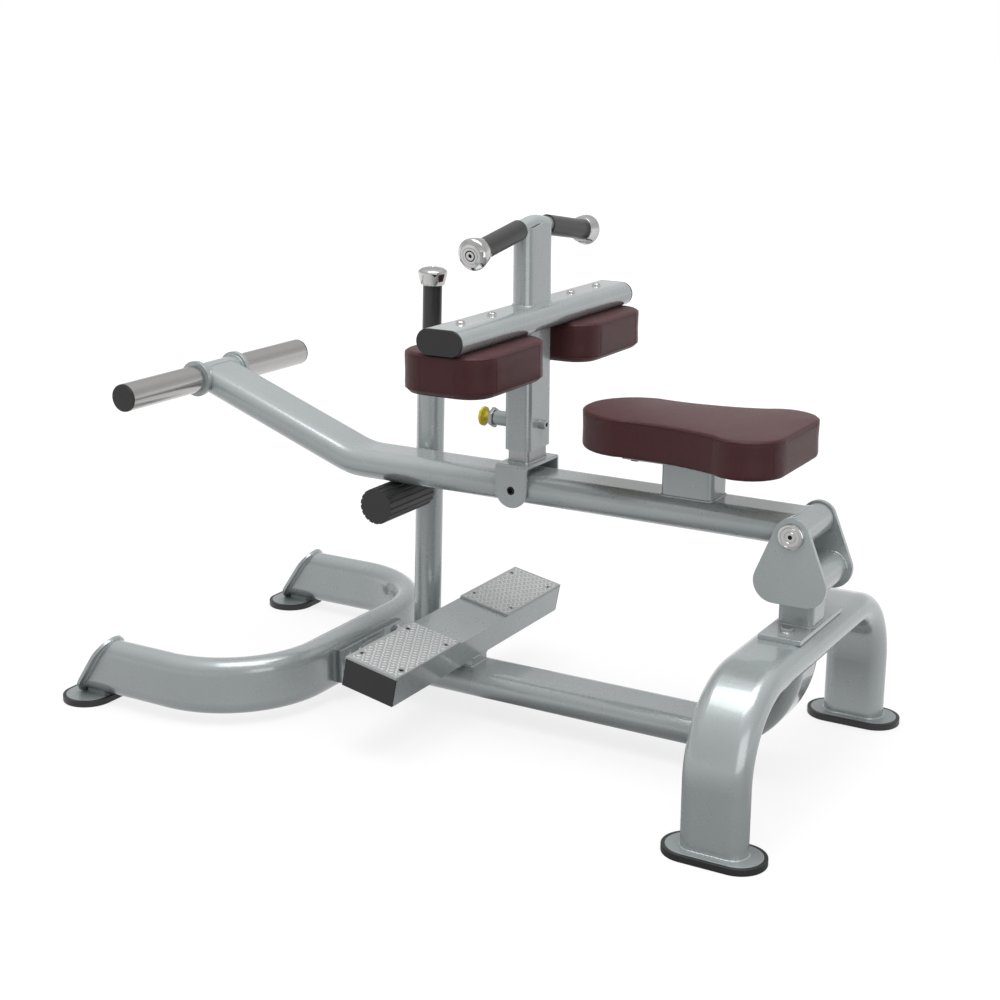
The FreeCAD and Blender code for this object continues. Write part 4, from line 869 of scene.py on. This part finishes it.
def cushion(name, node, rims, corners, pocket_floor=None):
    """A padded piece on the firm solid that it stands for: flat where its board is, crowned opposite.

    The rims, crown side first, stay where their welts are sewn; the board is at the far side.
    """
    low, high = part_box(node)
    towards = 1 if rims[0] > (low.z + high.z) / 2 else -1
    board_level = low.z if towards > 0 else high.z
    crown_depth = abs((high.z if towards > 0 else low.z) - rims[0])
    body = body_of[node]
    bm = merged(node)
    if pocket_floor:
        without_pocket(bm, pocket_floor)
    mesh = remeshed(as_mesh(bm, name), COVER_VOXEL)
    def held(place):
        near_board = (place.z - board_level) * towards < STILL_NEAR_BOARD
        above_rim = (place.z - rims[0]) * towards
        return near_board or -STILL_BELOW_RIM < above_rim < crown_depth - CROWN_EDGE

    def cap(place):
        on_crown = (place.z - rims[0]) * towards > crown_depth / 2
        return CROWN_SWELL if on_crown else SIDE_SWELL

    mesh = inflated(mesh, held, COVER_PRESSURE, cap)
    if pocket_floor:
        for vertex in mesh.vertices:
            share = (vertex.co.z - board_level + COVER_LIFT_START) / COVER_LIFT_RUN
            vertex.co.z += COVER_LIFT * max(0.0, min(1.0, share))
    mesh.shade_smooth()
    piece = in_place_of(node, name, mesh, ("leather",))
    surface = piece.modifiers.new("surface", "SUBSURF")
    surface.levels = surface.render_levels = 1
    lines = [loop_at(mesh, level) for level in rims]
    place_piece(name + "_welts", swept(lines, WELT_RADIUS), body, "leather")
    stitched(name + "_stitches", loop_at(mesh, rims[0] - towards * STITCH_BELOW_RIM), body)
    bottom, top = sorted((rims[0], board_level))
    upright_seams(name + "_seams", mesh, body, corners, bottom, top)


def make_cushions():
    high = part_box("seat_pad")[1]
    corners = [(581.0, side * 95.0, Vector((-0.7, -0.7 * side, 0.0))) for side in (-1, 1)]
    cushion("seat_cushion", "seat_pad", [high.z - SEAT_RIM_DEPTH], corners)
    for side, word in ((-1, "left"), (1, "right")):
        low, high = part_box("thigh_pad_" + word)
        corners = []
        for x in (69.5, 133.5):
            corners += [(x, side * 60.0, Y * side), (x, side * 290.0, -Y * side)]
        for y in (108.0, 242.0):
            corners += [(21.5, side * y, X), (181.5, side * y, -X)]
        rims = [
            low.z + THIGH_CROWN_RIM, high.z - THIGH_BOARD_RIM_DEPTH, low.z + THIGH_EDGE_RIM]
        cushion(
            "thigh_cushion_" + word, "thigh_pad_" + word, rims, corners, high.z - POCKET_DEPTH)


EASED = (
    "bracket_side_plates", "bracket_base_plate", "joint_flanges", "front_end_plates", "rear_foot_plates",
    "front_foot_plates", "rear_foot_pads", "front_foot_pads", "clevis_bracket", "clevis_pin",
    "horn_collars", "sleeve_caps", "pad_beam_caps", "foot_rest_caps", "foot_rest_beam",
    "seat_mount_plate", "frame_bolts", "seat_screws", "stop_roller", "outer_post")
for eased_node in EASED:
    eased(eased_node)
make_handle_parts()
make_catch_cap()
make_axle_caps()
make_pad_screws()
make_plunger_parts()
make_tread_socket_shades()
make_washers()
make_welds()
make_tread_bars()
make_cushions()


# Floor, light and camera

FLOOR_TONE = 0.21
FLOOR_GLOW_NEAR = 0.77
FLOOR_GLOW_FAR = 0.90
MIRRORED_FLOOR = (
    (0.0, 1.0), (0.10, 0.75), (0.25, 0.60), (0.37, 0.10), (0.46, 0.10), (0.56, 0.90), (0.66, 0.66),
    (0.76, 0.78), (1.0, 1.0))
ROOM_LIGHT = ((0.0, 0.06), (0.5, 1.02), (1.0, 1.02))
ROOM_TONES = ((0.0, 1.0), (0.04, 0.88), (0.14, 0.66), (0.42, 0.54), (0.7, 0.68), (1.0, 0.85))
GLOW_FROM = 0.6
GLOW_TO = 3.5
FLOOR_HALF_SIZE = 40.0
FLOOR_LEVEL = -0.0003
CAMERA_AZIMUTH = math.radians(30.24)
CAMERA_ELEVATION = math.radians(15.72)
CAMERA_ROLL = math.radians(0.21)
CAMERA_PLACE = (1.49423, -2.48354, 1.20585)
CAMERA_LENS = 62.17
CAMERA_SENSOR = 36.0
WHITE = (1.0, 1.0, 1.0, 1.0)


def seen_ray(tree):
    """1 for rays from the camera, off a mirror or through glass."""
    path = tree.nodes.new("ShaderNodeLightPath")
    first = tree.nodes.new("ShaderNodeMath")
    second = tree.nodes.new("ShaderNodeMath")
    first.operation = second.operation = "MAXIMUM"
    tree.links.new(path.outputs["Is Camera Ray"], first.inputs[0])
    tree.links.new(path.outputs["Is Glossy Ray"], first.inputs[1])
    tree.links.new(first.outputs[0], second.inputs[0])
    tree.links.new(path.outputs["Is Transmission Ray"], second.inputs[1])
    return second.outputs[0]


def mixed_shader(tree, factor, first, second, output):
    choose = tree.nodes.new("ShaderNodeMixShader")
    tree.links.new(factor, choose.inputs[0])
    tree.links.new(first, choose.inputs[1])
    tree.links.new(second, choose.inputs[2])
    tree.links.new(choose.outputs[0], tree.nodes[output].inputs["Surface"])


def toned(tree, value, tones):
    """A grey that changes with a value, as (value, brightness) steps."""
    ramp = tree.nodes.new("ShaderNodeValToRGB")
    elements = ramp.color_ramp.elements
    for position, tone in tones[1:-1]:
        elements.new(position)
    for element, (position, tone) in zip(elements, tones):
        element.position = position
        element.color = (tone, tone, tone, 1.0)
    tree.links.new(value, ramp.inputs["Fac"])
    return ramp.outputs["Color"]


def sky(tree, colour):
    background = tree.nodes.new("ShaderNodeBackground")
    tree.links.new(colour, background.inputs["Color"])
    return background.outputs[0]


def make_floor():
    """Plain pale floor: it keeps the machine's shadow and glows to white for the eye.

    Mirrored rays see it in greys that change round the machine, darkest on one side.
    """
    bm = bmesh.new()
    bmesh.ops.create_grid(bm, x_segments=1, y_segments=1, size=FLOOR_HALF_SIZE)
    mesh = as_mesh(bm, "floor")
    floor = bpy.data.objects.new("floor", mesh)
    scene.collection.objects.link(floor)
    floor.location.z = FLOOR_LEVEL
    material, tree, shader, where = new_material(
        "pale_floor", {"Roughness": 0.9, "Specular IOR Level": 0.1})
    shader.inputs["Base Color"].default_value = (FLOOR_TONE, FLOOR_TONE, FLOOR_TONE, 1.0)
    distance = tree.nodes.new("ShaderNodeVectorMath")
    distance.operation = "LENGTH"
    tree.links.new(where, distance.inputs[0])
    around = tree.nodes.new("ShaderNodeTexGradient")
    around.gradient_type = "RADIAL"
    tree.links.new(where, around.inputs["Vector"])
    mirrored = tree.nodes.new("ShaderNodeLightPath").outputs["Is Glossy Ray"]
    glow = tree.nodes.new("ShaderNodeEmission")
    tree.links.new(
        blended(tree, mirrored, WHITE, toned(tree, around.outputs["Fac"], MIRRORED_FLOOR)),
        glow.inputs["Color"])
    tree.links.new(
        spread(tree, distance.outputs["Value"], FLOOR_GLOW_NEAR, FLOOR_GLOW_FAR, GLOW_FROM, GLOW_TO),
        glow.inputs["Strength"])
    both = tree.nodes.new("ShaderNodeAddShader")
    tree.links.new(shader.outputs[0], both.inputs[0])
    tree.links.new(glow.outputs[0], both.inputs[1])
    mixed_shader(tree, seen_ray(tree), shader.outputs[0], both.outputs[0], "Material Output")
    mesh.materials.append(material)


def make_world():
    """A soft dome of light, white for the eye; mirrored rays see grey towards the lamps."""
    world = bpy.data.worlds.new("studio")
    scene.world = world
    world.use_nodes = True
    tree = world.node_tree
    tree.nodes.remove(tree.nodes["Background"])
    place = tree.nodes.new("ShaderNodeTexCoord")
    split = tree.nodes.new("ShaderNodeSeparateXYZ")
    tree.links.new(place.outputs["Generated"], split.inputs[0])
    height = split.outputs["Z"]
    eye = tree.nodes.new("ShaderNodeLightPath").outputs["Is Camera Ray"]
    seen = blended(tree, eye, toned(tree, height, ROOM_TONES), WHITE)
    lit = toned(tree, height, ROOM_LIGHT)
    mixed_shader(tree, seen_ray(tree), sky(tree, lit), sky(tree, seen), "World Output")


def soft_lamp(name, place, aim, width, height, power, shine=1.0):
    lamp = bpy.data.lights.new(name, "AREA")
    lamp.specular_factor = shine
    lamp.shape = "RECTANGLE"
    lamp.size = width
    lamp.size_y = height
    lamp.energy = power
    holder = bpy.data.objects.new(name, lamp)
    scene.collection.objects.link(holder)
    holder.location = place
    holder.rotation_euler = (Vector(aim) - Vector(place)).to_track_quat("-Z", "Y").to_euler()


def make_camera():
    level = math.cos(CAMERA_ELEVATION)
    back = Vector((
        math.sin(CAMERA_AZIMUTH) * level, -math.cos(CAMERA_AZIMUTH) * level,
        math.sin(CAMERA_ELEVATION)))
    right = Vector((math.cos(CAMERA_AZIMUTH), math.sin(CAMERA_AZIMUTH), 0.0))
    up = back.cross(right)
    rolled_right = right * math.cos(CAMERA_ROLL) + up * math.sin(CAMERA_ROLL)
    rolled_up = up * math.cos(CAMERA_ROLL) - right * math.sin(CAMERA_ROLL)
    camera = bpy.data.cameras.new("camera")
    camera.sensor_width = CAMERA_SENSOR
    camera.lens = CAMERA_LENS
    camera.clip_end = 200.0
    holder = bpy.data.objects.new("camera", camera)
    scene.collection.objects.link(holder)
    turn = Matrix((rolled_right, rolled_up, back)).transposed()
    holder.matrix_world = Matrix.Translation(CAMERA_PLACE) @ turn.to_4x4()
    scene.camera = holder


make_floor()
make_world()
soft_lamp("overhead_softbox", (0.35, -0.45, 2.6), (0.15, -0.10, 0.3), 1.9, 1.5, 35.0)
soft_lamp("arch_fill", (1.30, -0.95, 0.50), (0.60, 0.08, 0.22), 0.9, 0.7, 2.8, shine=0.0)
make_camera()
scene.view_settings.view_transform = "Standard"
